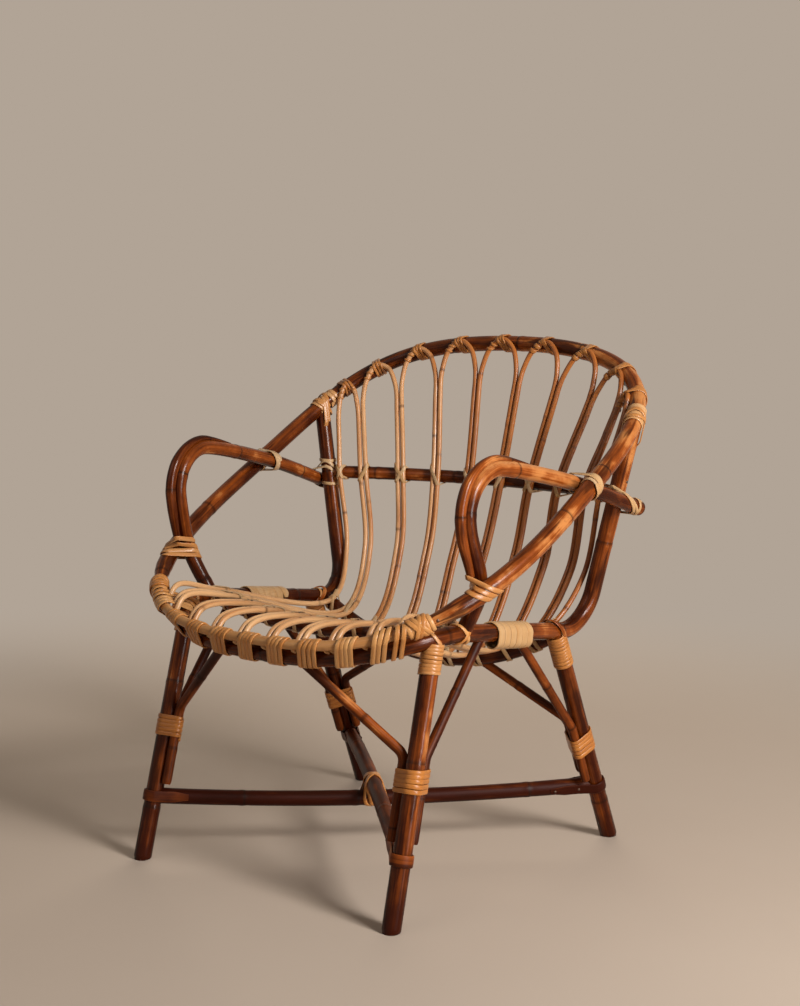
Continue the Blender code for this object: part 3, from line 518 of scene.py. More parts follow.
def hairpin(number):
    """One cane: up a strand, over the arch that touches the rim, and down the next strand."""
    first = strand_knots(places[number], 0.0 if number == 0 else PAIR)
    second = strand_knots(places[number + 1], 0.0 if number == HAIRPINS - 1 else -PAIR)
    top = rim_contact((places[number] + places[number + 1]) / 2, 0.0, ARCH_RISE)
    base = (first[-1] + second[-1]) / 2
    arch = []
    for turn in ARCH_ANGLES:
        level = first[-1] + (second[-1] - first[-1]) * (1 + math.cos(turn)) / 2
        arch.append(level + (top - base) * math.sin(turn))
    return flowing([*first, *arch, *second[::-1]])


hairpin_lines = [hairpin(number) for number in range(HAIRPINS)]

# Stretchers, their straps and the braces
front_joint = leg_at("front", STRETCHER_Z)
rear_joint = leg_at("rear", STRETCHER_Z)
STRETCHER_LIFT = 1.02 * STRETCHER_R + FIT


def stretcher_line(side, rise):
    """From a front leg to the rear leg across, bowed to pass the other stretcher."""
    start = on_side(front_joint, side)
    end = on_side(rear_joint, -side)
    shares = np.linspace(0, 1, STRETCHER_POINTS)
    return np.array([start + (end - start) * s + UP * rise * 4 * s * (1 - s) for s in shares])


def frame_of(axis, toward):
    """Two directions square to an axis, and the axis."""
    first = square_to(toward, axis)
    return np.array((first, np.cross(axis, first), axis))


def strap_line(joint, axis, along):
    """Round the far side of a leg, from one flank of the stretcher to the other, and the way out."""
    plane = frame_of(axis, along)
    reach = LEG_R + STRAP_THICK / 2 + FIT
    flank = 0.98 * STRETCHER_R
    points = [along * STRAP_TAIL * share + plane[1] * flank for share in (1.0, 0.7, 0.4)]
    out = [plane[1]] * 3
    for turn in STRAP_ANGLES:
        out.append(plane[0] * math.cos(turn) + plane[1] * math.sin(turn))
        points.append(out[-1] * reach)
    points += [along * STRAP_TAIL * share - plane[1] * flank for share in (0.4, 0.7)]
    out += [-plane[1]] * 2
    return joint + np.array(points), np.array(out)


BRACES = {
    "brace_front": ("front", -X, where(seat_half, 0, FRONT_BRACE_X)),
    "brace_side_front": ("front", Y, where(seat_half, 1, SIDE_BRACE_FRONT_Y)),
    "brace_side_rear": ("rear", -Y, side_rail(SIDE_BRACE_REAR_Y)),
    "brace_rear": ("rear", -X, where(rear_line, 0, REAR_BRACE_X)),
}
TIE_Z = {"front": FRONT_TIE_Z, "rear": REAR_TIE_Z}


def brace_line(name):
    which, away, top = BRACES[name]
    off = square_to(away, leg_way(which)) * (LEG_R + BRACE_R + FIT)
    start = leg_at(which, BRACE_START_Z) + off
    bend = leg_at(which, TIE_Z[which] + BRACE_BEND_RISE) + off
    return rounded([start, bend, top], BRACE_BEND_R)


brace_lines = {name: brace_line(name) for name in BRACES}


# Node trees
class Socket:
    """An output that takes part in sums: each operation on it adds its Math node."""

    def __init__(self, bench, out):
        self.bench = bench
        self.out = out

    def math(self, operation, *values):
        inputs = dict(enumerate((self, *values)))
        return self.bench.node("ShaderNodeMath", {"operation": operation}, inputs)

    def __add__(self, other):
        return self.math("ADD", other)

    def __mul__(self, other):
        return self.math("MULTIPLY", other)

    def __rsub__(self, other):
        return (self * -1.0) + other

    def __pow__(self, other):
        return self.math("POWER", other)

    __radd__ = __add__
    __rmul__ = __mul__


class Bench:
    """A node tree in the making."""

    def __init__(self, tree):
        self.tree = tree

    def node(self, kind, settings=None, inputs=None, output=0):
        """Adds a node: its settings first, then the values or links of its sockets."""
        made = self.tree.nodes.new(kind)
        for name, value in (settings or {}).items():
            setattr(made, name, value)
        for key, value in (inputs or {}).items():
            if isinstance(value, Socket):
                self.tree.links.new(value.out, made.inputs[key])
            else:
                made.inputs[key].default_value = value
        return Socket(self, made.outputs[output])

    def attribute(self, name, output=2):
        return self.node("ShaderNodeAttribute", {"attribute_name": name}, output=output)

    def part(self, vector, axis):
        return self.node("ShaderNodeSeparateXYZ", None, {0: vector}, axis)

    def noise(self, vector, across, along, detail, roughness=0.5):
        """Noise that is so fine across a vector's first two ways, and so fine along its third."""
        factors = across, across, along
        vector = self.node("ShaderNodeVectorMath", {"operation": "MULTIPLY"}, {0: vector, 1: factors})
        wanted = {"Vector": vector, "Scale": 1.0, "Detail": detail, "Roughness": roughness}
        return self.node("ShaderNodeTexNoise", None, wanted)

    def step(self, value, low, high):
        """0 below low, 1 above high, smooth between."""
        settings = {"interpolation_type": "SMOOTHSTEP"}
        return self.node("ShaderNodeMapRange", settings, {0: value, 1: low, 2: high})

    def mix(self, share, first, second):
        """One colour over another. A colour is a link or three numbers."""
        wanted = {0: share}
        for key, value in ((6, first), (7, second)):
            wanted[key] = value if isinstance(value, Socket) else (*value, 1.0)
        return self.node("ShaderNodeMix", {"data_type": "RGBA"}, wanted, 2)

    def painted(self, skin, layers):
        for share, tint in layers:
            skin = self.mix(share, skin, tint)
        return skin


def new_tree(name, inputs, result):
    """The bench of a new geometry tree, and the sockets of its named inputs."""
    tree = bpy.data.node_groups.new(name, "GeometryNodeTree")
    tree.is_modifier = True
    for label, kind in inputs.items():
        tree.interface.new_socket(label, in_out="INPUT", socket_type=f"NodeSocket{kind}")
    tree.interface.new_socket(result, in_out="OUTPUT", socket_type="NodeSocketGeometry")
    bench = Bench(tree)
    start = tree.nodes.new("NodeGroupInput")
    return bench, [Socket(bench, out) for out in start.outputs[: len(inputs)]]


def end_tree(bench, piece, finish):
    piece = bench.node("GeometryNodeSetShadeSmooth", None, {0: piece})
    piece = bench.node("GeometryNodeRealizeInstances", None, {0: piece})
    piece = bench.node("GeometryNodeSetMaterial", None, {0: piece, "Material": finish})
    end = bench.tree.nodes.new("NodeGroupOutput")
    bench.tree.links.new(piece.out, end.inputs[0])
    return bench.tree


def named(bench, name, kind="FLOAT"):
    return bench.node("GeometryNodeInputNamedAttribute", {"data_type": kind}, {"Name": name})


def sweep_tree():
    """Sweeps an outline along a guide, whose points hold its size and its way out."""
    sizes = dict.fromkeys(("Half Thickness", "Half Width", "Squareness"), "Float")
    inputs = {"Guide": "Geometry", **sizes, "Sides": "Int", "Finish": "Material"}
    bench, sockets = new_tree("sweep along a guide", inputs, "Piece")
    guide, half_thick, half_wide, square, sides, finish = sockets
    spot = bench.node("GeometryNodeInputPosition")

    def across(axis, half):
        """One coordinate of the outline: a circle drawn out towards a square."""
        value = bench.part(spot, axis)
        return value.math("SIGN") * (value.math("ABSOLUTE") ** square) * half

    def stored(geometry, name, value):
        keep = {"data_type": "FLOAT_VECTOR", "domain": "POINT"}
        wanted = {"Geometry": geometry, "Name": name, "Value": value}
        return bench.node("GeometryNodeStoreNamedAttribute", keep, wanted)

    circle = bench.node("GeometryNodeCurvePrimitiveCircle", None, {"Resolution": sides, "Radius": 1.0})
    wanted = {0: across(0, half_thick), 1: across(1, half_wide)}
    outline = bench.node("ShaderNodeCombineXYZ", None, wanted)
    ring = bench.node("GeometryNodeSetPosition", None, {"Geometry": circle, "Position": outline})
    ring = stored(ring, "ring", spot)
    path = bench.node("GeometryNodeMeshToCurve", None, {0: guide})
    wanted = {0: path, "Normal": named(bench, "outward", "FLOAT_VECTOR")}
    path = bench.node("GeometryNodeSetCurveNormal", {"mode": "FREE"}, wanted)
    wanted = {0: path, 1: ring, "Scale": named(bench, "size"), "Fill Caps": True}
    piece = bench.node("GeometryNodeCurveToMesh", None, wanted)
    around = named(bench, "ring", "FLOAT_VECTOR")
    wanted = {0: bench.part(around, 0), 1: bench.part(around, 1), 2: named(bench, "run")}
    grain = bench.node("ShaderNodeCombineXYZ", None, wanted)
    return end_tree(bench, stored(piece, "grain", grain), finish)


def nail_tree():
    inputs = {"Points": "Geometry", "Radius": "Float", "Finish": "Material"}
    bench, (points, radius, finish) = new_tree("nail heads on points", inputs, "Nails")
    head = bench.node("GeometryNodeMeshUVSphere", None, {"Segments": 14, "Rings": 8, "Radius": radius})
    head = bench.node("GeometryNodeTransform", None, {0: head, "Scale": (1.0, 1.0, NAIL_HEIGHT)})
    wanted = {"Vector": named(bench, "outward", "FLOAT_VECTOR")}
    turn = bench.node("FunctionNodeAlignRotationToVector", {"axis": "Z"}, wanted)
    wanted = {"Points": points, "Instance": head, "Rotation": turn}
    return end_tree(bench, bench.node("GeometryNodeInstanceOnPoints", None, wanted), finish)


SWEEP = sweep_tree()
NAILS = nail_tree()
ATTRIBUTES = dict.fromkeys(("size", "run", "mark", "tone"), "FLOAT") | {"outward": "FLOAT_VECTOR"}


def store(mesh, label, kind, values):
    layer = mesh.attributes.new(label, kind, "POINT")
    layer.data.foreach_set("vector" if kind == "FLOAT_VECTOR" else "value", np.ravel(values))


def guide_mesh(name, strands):
    """Strands as loose lines of one mesh, with what the sweep and the finish read at each point."""
    mesh = bpy.data.meshes.new(name)
    edges = []
    first = 0
    for strand in strands:
        last = first + len(strand["points"]) - 1
        edges += [(i, i + 1) for i in range(first, last)]
        first = last + 1
    mesh.from_pydata(np.vstack([strand["points"] for strand in strands]).tolist(), edges, [])
    for label, kind in ATTRIBUTES.items():
        store(mesh, label, kind, np.concatenate([np.asarray(strand[label], float) for strand in strands]))
    return mesh


def made(name, guide, tree, sizes, finish):
    """Runs a tree on a guide, and leaves its result as a plain mesh in place of the node of its name."""
    piece = bpy.data.objects.new(name, guide)
    bpy.context.scene.collection.objects.link(piece)
    step = piece.modifiers.new("make", "NODES")
    step.node_group = tree
    sizes = {**sizes, "Finish": finish}
    for socket in tree.interface.items_tree:
        if socket.in_out == "INPUT" and socket.name in sizes:
            step[socket.identifier] = sizes[socket.name]
    bpy.context.view_layer.update()
    mesh = bpy.data.meshes.new_from_object(piece.evaluated_get(bpy.context.evaluated_depsgraph_get()))
    piece.modifiers.remove(step)
    piece.data = mesh
    mesh.name = name
    bpy.data.meshes.remove(guide)
    mesh.set_sharp_from_angle(angle=SHARP)
    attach(piece, "root")
    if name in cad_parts:
        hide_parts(name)
    return piece


def swept(name, strands, half, finish, square=1.0, sides=18):
    """A piece swept along its strands. half is a radius, or a half width and half thickness."""
    wide, thick = half if isinstance(half, tuple) else (half, half)
    sizes = {"Half Thickness": thick, "Half Width": wide, "Squareness": square, "Sides": sides}
    return made(name, guide_mesh(name, strands), SWEEP, sizes, finish)


# What a guide's points hold
def turned_ways(points):
    """A way square to the line at each point, carried along it without twist."""
    ahead = unit(np.gradient(points, axis=0))
    way = square_to(UP if abs(ahead[0][2]) < 0.8 else X, ahead[0])
    ways = []
    for along in ahead:
        way = square_to(way, along)
        ways.append(way)
    return np.array(ways)


def hump(run, middle, width):
    return np.exp(-(((run - middle) / width) ** 2))


def grown(line, seed, gap, swell, step=0.003, taper=None, tone=0.5):
    """A pole as it grew: rings at uneven steps, and a slow swell between them."""
    rng = np.random.default_rng(seed)
    points = even(line, step)
    run = lengths(points)
    size = 1 + 0.3 * swell * np.sin(run / (0.31 * gap) + rng.uniform(0, 6))
    mark = np.zeros(len(run))
    ring = rng.uniform(0.1, 0.9) * gap
    while ring < run[-1]:
        size += swell * hump(run, ring, RING_WIDTH)
        size -= 0.6 * swell * hump(run, ring + WAIST_AFTER, WAIST_WIDTH)
        mark = np.maximum(mark, hump(run, ring + MARK_AFTER, MARK_WIDTH))
        ring += gap * rng.uniform(0.65, 1.4)
    if taper is not None:
        size *= np.interp(run, *taper(run[-1]))
    return {
        "points": points,
        "size": size,
        "outward": turned_ways(points),
        "run": run + rng.uniform(0, 5),
        "mark": mark,
        "tone": np.broadcast_to(tone(points) if callable(tone) else tone, run.shape),
    }


def laid(points, outward, seed, tone=0.5, tip=0.006):
    """A strip along points that already know which way is out, thinned at both ends."""
    rng = np.random.default_rng(seed)
    run = lengths(points)
    ends = np.minimum(run, run[-1] - run)
    along = unit(np.gradient(points, axis=0))
    return {
        "points": points,
        "size": np.interp(ends, (0.0, tip), (0.55, 1.0)),
        "outward": square_to(outward, along),
        "run": run + rng.uniform(0, 5),
        "mark": np.zeros(len(run)),
        "tone": np.full(len(run), tone + rng.uniform(-0.2, 0.2)),
    }


def near(line, origin, reach):
    """The stretch of a line close to a point, in small steps."""
    middle = nearest_length(line, origin)
    start = max(0.0, middle - reach)
    end = min(lengths(line)[-1], middle + reach)
    return at_length(line, np.arange(start, end, NEAR_STEP))


def taut(poles, origin, plane, angle, clear):
    """Where a taut loop round the poles lies at an angle, and the way out of the pole there.

    The loop is in the plane through the origin. Each pole is a row of balls that the plane cuts.
    """
    way = np.array((math.cos(angle), math.sin(angle)))
    best = -1.0
    for line, radius in poles:
        local = (line - origin) @ plane.T
        disc = (radius + clear) ** 2 - local[:, 2] ** 2
        cut = disc > 0
        if not cut.any():
            continue
        disc = np.sqrt(disc[cut])
        push = local[cut][:, :2] @ way + disc
        most = int(push.argmax())
        if push[most] > best:
            best = push[most]
            spot = local[cut][most, :2] + disc[most] * way
            out = np.append(disc[most] * way, -local[cut][most, 2])
    return origin + spot @ plane[:2], out @ plane


def wound(poles, place_at, turns, step, clear, seed, start=0.0, reach=0.07, sway=0.12, tone=0.5):
    """A strip pulled tight round some poles. place_at(level) gives each loop's plane."""
    rng = np.random.default_rng(seed)
    middle, _ = place_at(0.0)
    close = [(near(line, middle, reach), radius) for line, radius in poles]
    shares = np.linspace(0.0, 1.0, round(turns * STEPS_A_TURN) + 1)
    drift = sway * step * np.sin(shares * turns * 5.1 + rng.uniform(0, 6))
    advance = shares
    for _ in range(2):
        points = []
        outward = []
        for share, ahead, off in zip(shares, advance, drift):
            origin, plane = place_at((ahead - 0.5) * turns * step + off)
            angle = start + 2 * math.pi * turns * share
            spot, out = taut(close, origin, plane, angle, clear)
            points.append(spot)
            outward.append(out)
        line = np.array(points)
        advance = lengths(line) / lengths(line)[-1]
    moved = np.concatenate(([True], np.linalg.norm(np.diff(line, axis=0), axis=1) > 1e-5))
    outward = unit(np.array(outward)[moved])
    for _ in range(SMOOTHINGS):
        outward[1:-1] = (outward[:-2] + 2 * outward[1:-1] + outward[2:]) / 4
    return laid(line[moved], outward, seed, tone)


def tilted(axis, about, angle):
    """An axis leaned over by an angle, about a direction square to it."""
    about = square_to(about, axis)
    return axis * math.cos(angle) + np.cross(about, axis) * math.sin(angle)


def turned(poles, spot, axis, out, turns, step, seed, half=STRIP, over=0, **more):
    """Turns of strip whose loops are square to an axis. over counts the strips that it lies on."""
    plane = frame_of(axis, -out)
    clear = (1 + 2 * over) * half[1]
    return wound(poles, lambda level: (spot + plane[2] * level, plane), turns, step, clear, seed, **more)


def tie(poles, spot, axis, out, seed, tilt, turns=1.15, half=TIE):
    """One loop of strip at a slant, seen from the side that out points to, with its ends behind."""
    axis = tilted(axis, out, tilt)
    return turned(poles, spot, axis, out, turns, LOOP_STEP, seed, half, reach=TIE_REACH)


# Finishes
def new_finish(name, gloss=0.5):
    """A finish with nothing painted yet. gloss is how strongly it mirrors, 0.5 for bare plastic."""
    material = bpy.data.materials.new(name)
    material.use_nodes = True
    bench = Bench(material.node_tree)
    shader = material.node_tree.nodes["Principled BSDF"]
    shader.inputs["Specular IOR Level"].default_value = gloss
    return material, bench, shader


def plug(bench, shader, **sockets):
    for name, value in sockets.items():
        bench.tree.links.new(value.out, shader.inputs[name.replace("_", " ")])


def bumped(bench, height, depth):
    return bench.node("ShaderNodeBump", None, {"Strength": 1.0, "Distance": depth, "Height": height})


def lacquered(name, gloss, least_rough):
    """Red-brown lacquer on pole skin: streaks, worn flanks, stains, rubbed tops, specks, rings."""
    material, bench, shader = new_finish(name, gloss)
    grain = bench.attribute("grain", 1)
    tone = bench.attribute("tone")
    flank = bench.noise(grain, 55, 3.0, 2.0)
    streak = bench.noise(grain, 420, 7.0, 4.0, 0.62)
    cloud = bench.noise(grain, 40, 26, 3.0)
    speck = bench.noise(grain, 700, 180, 2.0)
    patch = bench.noise(grain, 60, 8.0, 3.0)
    chip = bench.noise(grain, 300, 130, 3.0, 0.6)
    ripe = tone.math("MINIMUM", 0.62)
    worn = bench.step(flank * 0.60 + streak * 0.35 + cloud * 0.35 + ripe * 0.6, 0.68, 1.10)
    bare = bench.step(worn * 0.5 + cloud * 0.6 + ripe * 0.25, 0.72, 1.02)
    stained = bench.step(patch, 0.53, 0.62) * (1.0 - bench.step(tone, 0.5, 0.9)) * 0.8
    upward = bench.part(bench.node("ShaderNodeNewGeometry", output=1), 2)
    rubbed = bench.step(tone, 0.7, 1.3) * bench.step(upward, 0.25, 0.95)
    rubbed = rubbed * (0.30 + bench.step(chip, 0.44, 0.56) * 0.55)
    specks = bench.step(speck, 0.66, 0.74) * 0.45
    rings = bench.attribute("mark") * 0.85
    layers = (bare, BARE_SKIN), (stained, STAIN), (rubbed, RUBBED_SKIN), (specks, SPECK), (rings, RING)
    skin = bench.painted(bench.mix(worn, DARK_SKIN, RED_SKIN), layers)
    rough = least_rough + streak * 0.12 + speck * 0.05
    height = streak * 0.6 + speck * 0.4
    plug(bench, shader, Base_Color=skin, Roughness=rough, Normal=bumped(bench, height, 0.00016))
    return material


def cane_skin(name, pale, warm, dark, gloss=0.38):
    """Varnished cane: long fibres, a slow change of colour, dark rings and a few stains."""
    material, bench, shader = new_finish(name, gloss)
    grain = bench.attribute("grain", 1)
    tone = bench.attribute("tone")
    fibre = bench.noise(grain, 900, 12, 4.0, 0.6)
    flank = bench.noise(grain, 130, 4.0, 2.0)
    cloud = bench.noise(grain, 60, 22, 3.0)
    # on the hairpin canes, tone carries painted shade on the right of the back, which turns them ripe and
    # dark here
    ripe = bench.step(tone * 1.1 + flank * 0.90 + cloud * 0.30, 0.68, 1.42)
    old = bench.step(cloud * 0.7 + fibre * 0.5 + tone * 0.35, 0.78, 1.15) * 0.75
    fibres = bench.step(fibre, 0.55, 0.75) * 0.28
    rings = bench.attribute("mark") * 0.8
    layers = (old, dark), (fibres, dark), (rings, tuple(0.3 * value for value in dark))
    skin = bench.painted(bench.mix(ripe, pale, warm), layers)
    rough = 0.20 + fibre * 0.20
    plug(bench, shader, Base_Color=skin, Roughness=rough, Normal=bumped(bench, fibre, 0.00022))
    return material


def nail_steel():
    material, bench, shader = new_finish("nail_heads")
    place = bench.node("ShaderNodeTexCoord", output=3)
    rust = bench.noise(place, 900, 900, 3.0)
    shader.inputs["Metallic"].default_value = 0.9
    skin = bench.mix(bench.step(rust, 0.4, 0.65), (0.11, 0.09, 0.075), (0.12, 0.045, 0.02))
    plug(bench, shader, Base_Color=skin, Roughness=0.3 + rust * 0.3)
    return material


DARK_SKIN = (0.030, 0.0038, 0.0005)
RED_SKIN = (0.275, 0.062, 0.0080)
BARE_SKIN = (0.430, 0.165, 0.045)
RUBBED_SKIN = (0.520, 0.240, 0.085)
STAIN = (0.022, 0.0034, 0.0006)
SPECK = (0.040, 0.010, 0.003)
RING = (0.010, 0.003, 0.001)
LACQUER = lacquered("lacquered_pole", 0.16, 0.13)
DULL_LACQUER = lacquered("dull_pole", 0.12, 0.36)
CANE = cane_skin("seat_cane", (0.59, 0.345, 0.160), (0.34, 0.108, 0.019), (0.14, 0.030, 0.005))
BINDING = cane_skin("split_cane", (0.51, 0.296, 0.132), (0.40, 0.160, 0.038), (0.26, 0.075, 0.012))
STRAW = cane_skin("straw_strip", (0.47, 0.325, 0.186), (0.42, 0.247, 0.107), (0.34, 0.160, 0.050), 0.2)
WRAP = cane_skin("edge_wrap", (0.55, 0.298, 0.112), (0.41, 0.150, 0.028), (0.22, 0.060, 0.009))
NATURAL = cane_skin("natural_bar", (0.56, 0.315, 0.135), (0.43, 0.185, 0.050), (0.21, 0.062, 0.011))
STEEL = nail_steel()
SLOTS = dict.fromkeys((LACQUER, DULL_LACQUER, STEEL), "lacquered_pole")
SLOTS |= dict.fromkeys((BINDING, WRAP), "split_cane")
SLOTS |= {CANE: "seat_cane", STRAW: "straw_strip", NATURAL: "natural_bar"}


# Poles
def pole(name, line, radius, seed, gap=0.17, swell=0.035, taper=None, tone=0.5, sides=26, finish=LACQUER):
    strand = grown(line, seed, gap, swell, POLE_STEP, taper, tone)
    return swept(name, [strand], radius, finish, sides=sides)


def rim_taper(total):
    tip = BAR_R / RIM_R
    return (0.0, RIM_TAPER, total - RIM_TAPER, total), (tip, 1.0, 1.0, tip)


def foot_taper(total):
    return (0.0, 1.1 * FOOT_CHAMFER, 1.7 * FOOT_CHAMFER, total), (0.86, 0.91, 1.0, 0.97)


def brace_taper(total):
    return (0.0, 0.004, total), (0.86, 1.0, 0.95)


def rim_tone(points):
    """Brighter on the right."""
    return 0.42 + 0.4 * points[:, 0]


def arm_tone(points):
    """Worn where hands rub: along the top, and more on the right."""
    rubbed = np.clip((points[:, 2] - 0.55) / 0.04, 0.0, 1.0)
    return 0.28 + rubbed * (0.50 + 1.1 * points[:, 0])


def post_tone(points):
    """Darker along the seat, and brighter on the right."""
    return np.interp(points[:, 2], (0.36, 0.50), (0.26, 0.42)) + 0.3 * points[:, 0]


def leg_tone(points):
    """Darker at the scuffed foot, and brighter on the right."""
    return 0.26 + 0.3 * points[:, 0] - 0.3 * np.exp(-points[:, 2] / 0.05)


def cane_tone_with_painted_shade(points):
    """Pale over the seat and on the left; ripe and darker on the right of the back, which is painted
    shade where light from the right leaves the fronts of those canes in shade.
    """
    back = np.clip((points[:, 1] - 0.060) / 0.08, 0.0, 1.0)
    right = np.clip(0.46 + points[:, 0] / 0.36, 0.0, 1.0)
    return 0.25 + back * (0.17 + 0.54 * right) + 0.06 * right


pole("rim_arch", rim_line, RIM_R, 11, taper=rim_taper, tone=rim_tone, sides=30)
pole("front_seat_rail", seat_line, FRAME_R, 12, tone=0.3)
pole("back_cross_rail", cross_line, CROSS_R, 13, tone=0.25)
pole("rear_seat_rail", rear_line, REAR_R, 14, tone=0.25)
pole("middle_seat_rail", middle_line, MIDDLE_R, 15, tone=0.25)
swept("front_bar", [grown(bar_line, 16, 0.13, 0.03)], BAR_R, NATURAL, sides=20)

for word, side in SIDES.items():
    seed = 30 + 20 * (side > 0)
    pole(f"back_post_{word}", on_side(post_line, side), FRAME_R, seed, tone=post_tone)
    pole(f"arm_hoop_{word}", on_side(arm_line, side), ARM_R, seed + 1, 0.15, tone=arm_tone)
    strand = grown(on_side(arm_cane_line, side), seed + 2, 0.14, 0.03, POLE_STEP, tone=0.26 + 0.06 * side)
    run = lengths(strand["points"])
    strand["size"] *= np.interp(run, lengths(arm_cane_line), arm_cane_size)
    strand["size"] *= np.interp(run, (0.0, ARM_CANE_THINS), (ARM_CANE_FOOT, 1.0))
    swept(f"arm_cane_{word}", [strand], ARM_CANE_R, LACQUER, sides=20)
    for number, (which, (foot, top)) in enumerate(LEGS.items()):
        below = foot - leg_way(which) * FOOT_CHAMFER
        leg = on_side(np.array((below, top)), side)
        sizes = LEG_R, seed + 3 + number, 0.14, 0.03, foot_taper
        piece = pole(f"leg_{which}_{word}", leg, *sizes, leg_tone)
        for vertex in piece.data.vertices:
            vertex.co.z = max(0.0, vertex.co.z)
    for number, (name, line) in enumerate(brace_lines.items()):
        sizes = BRACE_R, seed + 6 + number, 0.12, 0.05, brace_taper
        pole(f"{name}_{word}", on_side(line, side), *sizes, tone=0.30, finish=DULL_LACQUER)

# Stretchers with the straps that go round the legs, and the straps' nails
nail_spots = []
nail_ways = []


def nail(spot, out):
    nail_spots.append(spot)
    nail_ways.append(out)


stretcher_lines = {}
for name, side, rise in (("stretcher_low", -1, -STRETCHER_LIFT), ("stretcher_high", 1, STRETCHER_LIFT)):
    line = stretcher_line(side, rise)
    stretcher_lines[name] = line
    sizes = STRETCHER_R, 71 + side, 0.19, 0.04
    pole(name, line, *sizes, tone=0.12 + 0.12 * side, finish=DULL_LACQUER)
    for end, which in ((0, "front"), (-1, "rear")):
        leg_side = side if which == "front" else -side
        axis = on_side(leg_way(which), leg_side)
        inner = line[1] - line[0] if end == 0 else line[-2] - line[-1]
        points, outward = strap_line(line[end], axis, unit(inner))
        strand = laid(points, outward, 75 + side + end, 0.2, 0.004)
        half = (STRAP_WIDTH / 2, STRAP_THICK / 2)
        swept(f"strap_{name}_{which}", [strand], half, DULL_LACQUER, 0.55, 20)
        for spot, out in ((points[0] * 0.7 + points[1] * 0.3, outward[0]), (points[2], outward[2])):
            nail(spot + out * STRAP_THICK / 2, out)

for number, line in enumerate(hairpin_lines):
    # the canes' tone paints shade on the right of the back
    strand = grown(line, 90 + number, 0.21, 0.06, 0.004, tone=cane_tone_with_painted_shade)
    swept(f"hairpin_cane_{number + 1}", [strand], CANE_R, CANE, sides=14)


# Bindings
def binding(name, strands, half=STRIP, finish=BINDING, square=0.75):
    return swept(name, strands, half, finish, square, 12)


def leg_bindings(side, word, seed):
    """Turns at the top of each leg, a strap from them over the rail, and turns round leg and braces."""
    out = side * X
    for number, (which, (foot, top)) in enumerate(LEGS.items()):
        way = on_side(leg_way(which), side)
        leg = on_side(np.array((foot, top)), side)
        rail = on_side(seat_line if which == "front" else post_line, side)
        turns, tone = LEG_TOPS[which]
        spot = leg[1] - way * (LEG_TOP_DROP + turns * STRIP_STEP / 2)
        strand = turned([(leg, LEG_R)], spot, way, out, turns, STRIP_STEP, seed + number, tone=tone)
        binding(f"binding_leg_{which}_{word}", [strand])
        rail_way = heading(rail, nearest_length(rail, leg[1]))
        held_drop, held_half = LEG_STRAP_HOLD
        poles = [(rail, FRAME_R), (near(leg, leg[1] - way * held_drop, held_half), LEG_R)]
        spot = leg[1] - way * LEG_STRAP_DROP
        strap = tie(poles, spot, rail_way, out, seed + 6 + number, LEG_STRAP_LEAN, 1.1)
        binding(f"strap_leg_{which}_{word}", [strap], TIE)
        if which == "rear":
            axis = tilted(rail_way, out, DARK_STRAP_LEAN)
            poles = [(rail, FRAME_R + DARK_STRAP_RISE)]
            strap = turned(poles, spot, axis, out, 1.1, LOOP_STEP, seed + 8, DARK_STRAP)
            binding(f"strap_dark_{which}_{word}", [strap], DARK_STRAP, LACQUER)
        poles = [(leg, LEG_R)]
        for name, (braced, *_) in BRACES.items():
            if braced == which:
                poles.append((on_side(brace_lines[name], side), BRACE_R))
        spot = on_side(leg_at(which, TIE_Z[which]), side)
        sizes = LEG_TIE_TURNS, LEG_TIE_STEP, seed + 3 + number, LEG_TIE
        strand = turned(poles, spot, way, out, *sizes, tone=0.95)
        binding(f"binding_braces_{which}_{word}", [strand], LEG_TIE, WRAP)


def splice_binding(side, word, seed):
    """Broad straw turns over the lap of side rail and back post, whose lower end hangs a little low."""
    run = np.array((side_rail(SPLICE_Y - SPLICE_REACH), side_rail(SPLICE_Y + SPLICE_REACH)))
    run = on_side(run, side)
    poles = [(run, FRAME_R + SPLICE_PROUD), (run - UP * SPLICE_LAP, FRAME_R)]
    axis = unit(run[1] - run[0])
    sizes = SPLICE_TURNS, BROAD_STEP, seed, BROAD_STRIP
    strand = turned(poles, on_side(post_start, side), axis, side * X, *sizes, sway=0.03)
    binding(f"binding_splice_{word}", [strand], BROAD_STRIP, STRAW, 0.45)


def arm_bindings(side, word, seed):
    """Where an arm passes the rim: turns round both in front, and behind a broad strip and its tail."""
    arm = on_side(arm_line, side)
    poles = [(rim_line, RIM_R), (arm, ARM_R)]
    for end, spot, rim_way, hold, share in (
        ("front", front_cross, front_cross_way, arm_front, 1.3),
        ("rear", rear_cross, rear_cross_way, arm_rear, 0.6),
    ):
        arm_way = heading(arm_line, nearest_length(arm_line, hold))
        arm_way = arm_way if arm_way @ rim_way > 0 else -arm_way
        out = on_side(unit(spot - hold), side)
        axis = on_side(unit(share * arm_way + rim_way), side)
        middle = on_side((spot + hold) / 2, side)
        name = f"binding_arm_{end}_{word}"
        if end == "front":
            cane = on_side(arm_cane_line, side), ARM_CANE_FOOT * ARM_CANE_R
            middle = middle + on_side(arm_way, side) * ARM_WRAP_RISE
            strand = turned([*poles, cane], middle, axis, out, 3.3, 2 * BAND[0], seed + 1, BAND)
            binding(name, [strand], BAND)
        else:
            sizes = 1.2, LOOP_STEP, seed + 2, BROAD_BAND
            strand = turned(poles[:1], on_side(spot, side), axis, out, *sizes)
            binding(name, [strand], BROAD_BAND, STRAW, 0.5)
            strand = turned(poles, middle, axis, out, 1.6, 2 * LOOP_STEP, seed + 3, ARM_BAND, 1)
            binding(f"tail_arm_{word}", [strand], ARM_BAND, STRAW, 0.5)


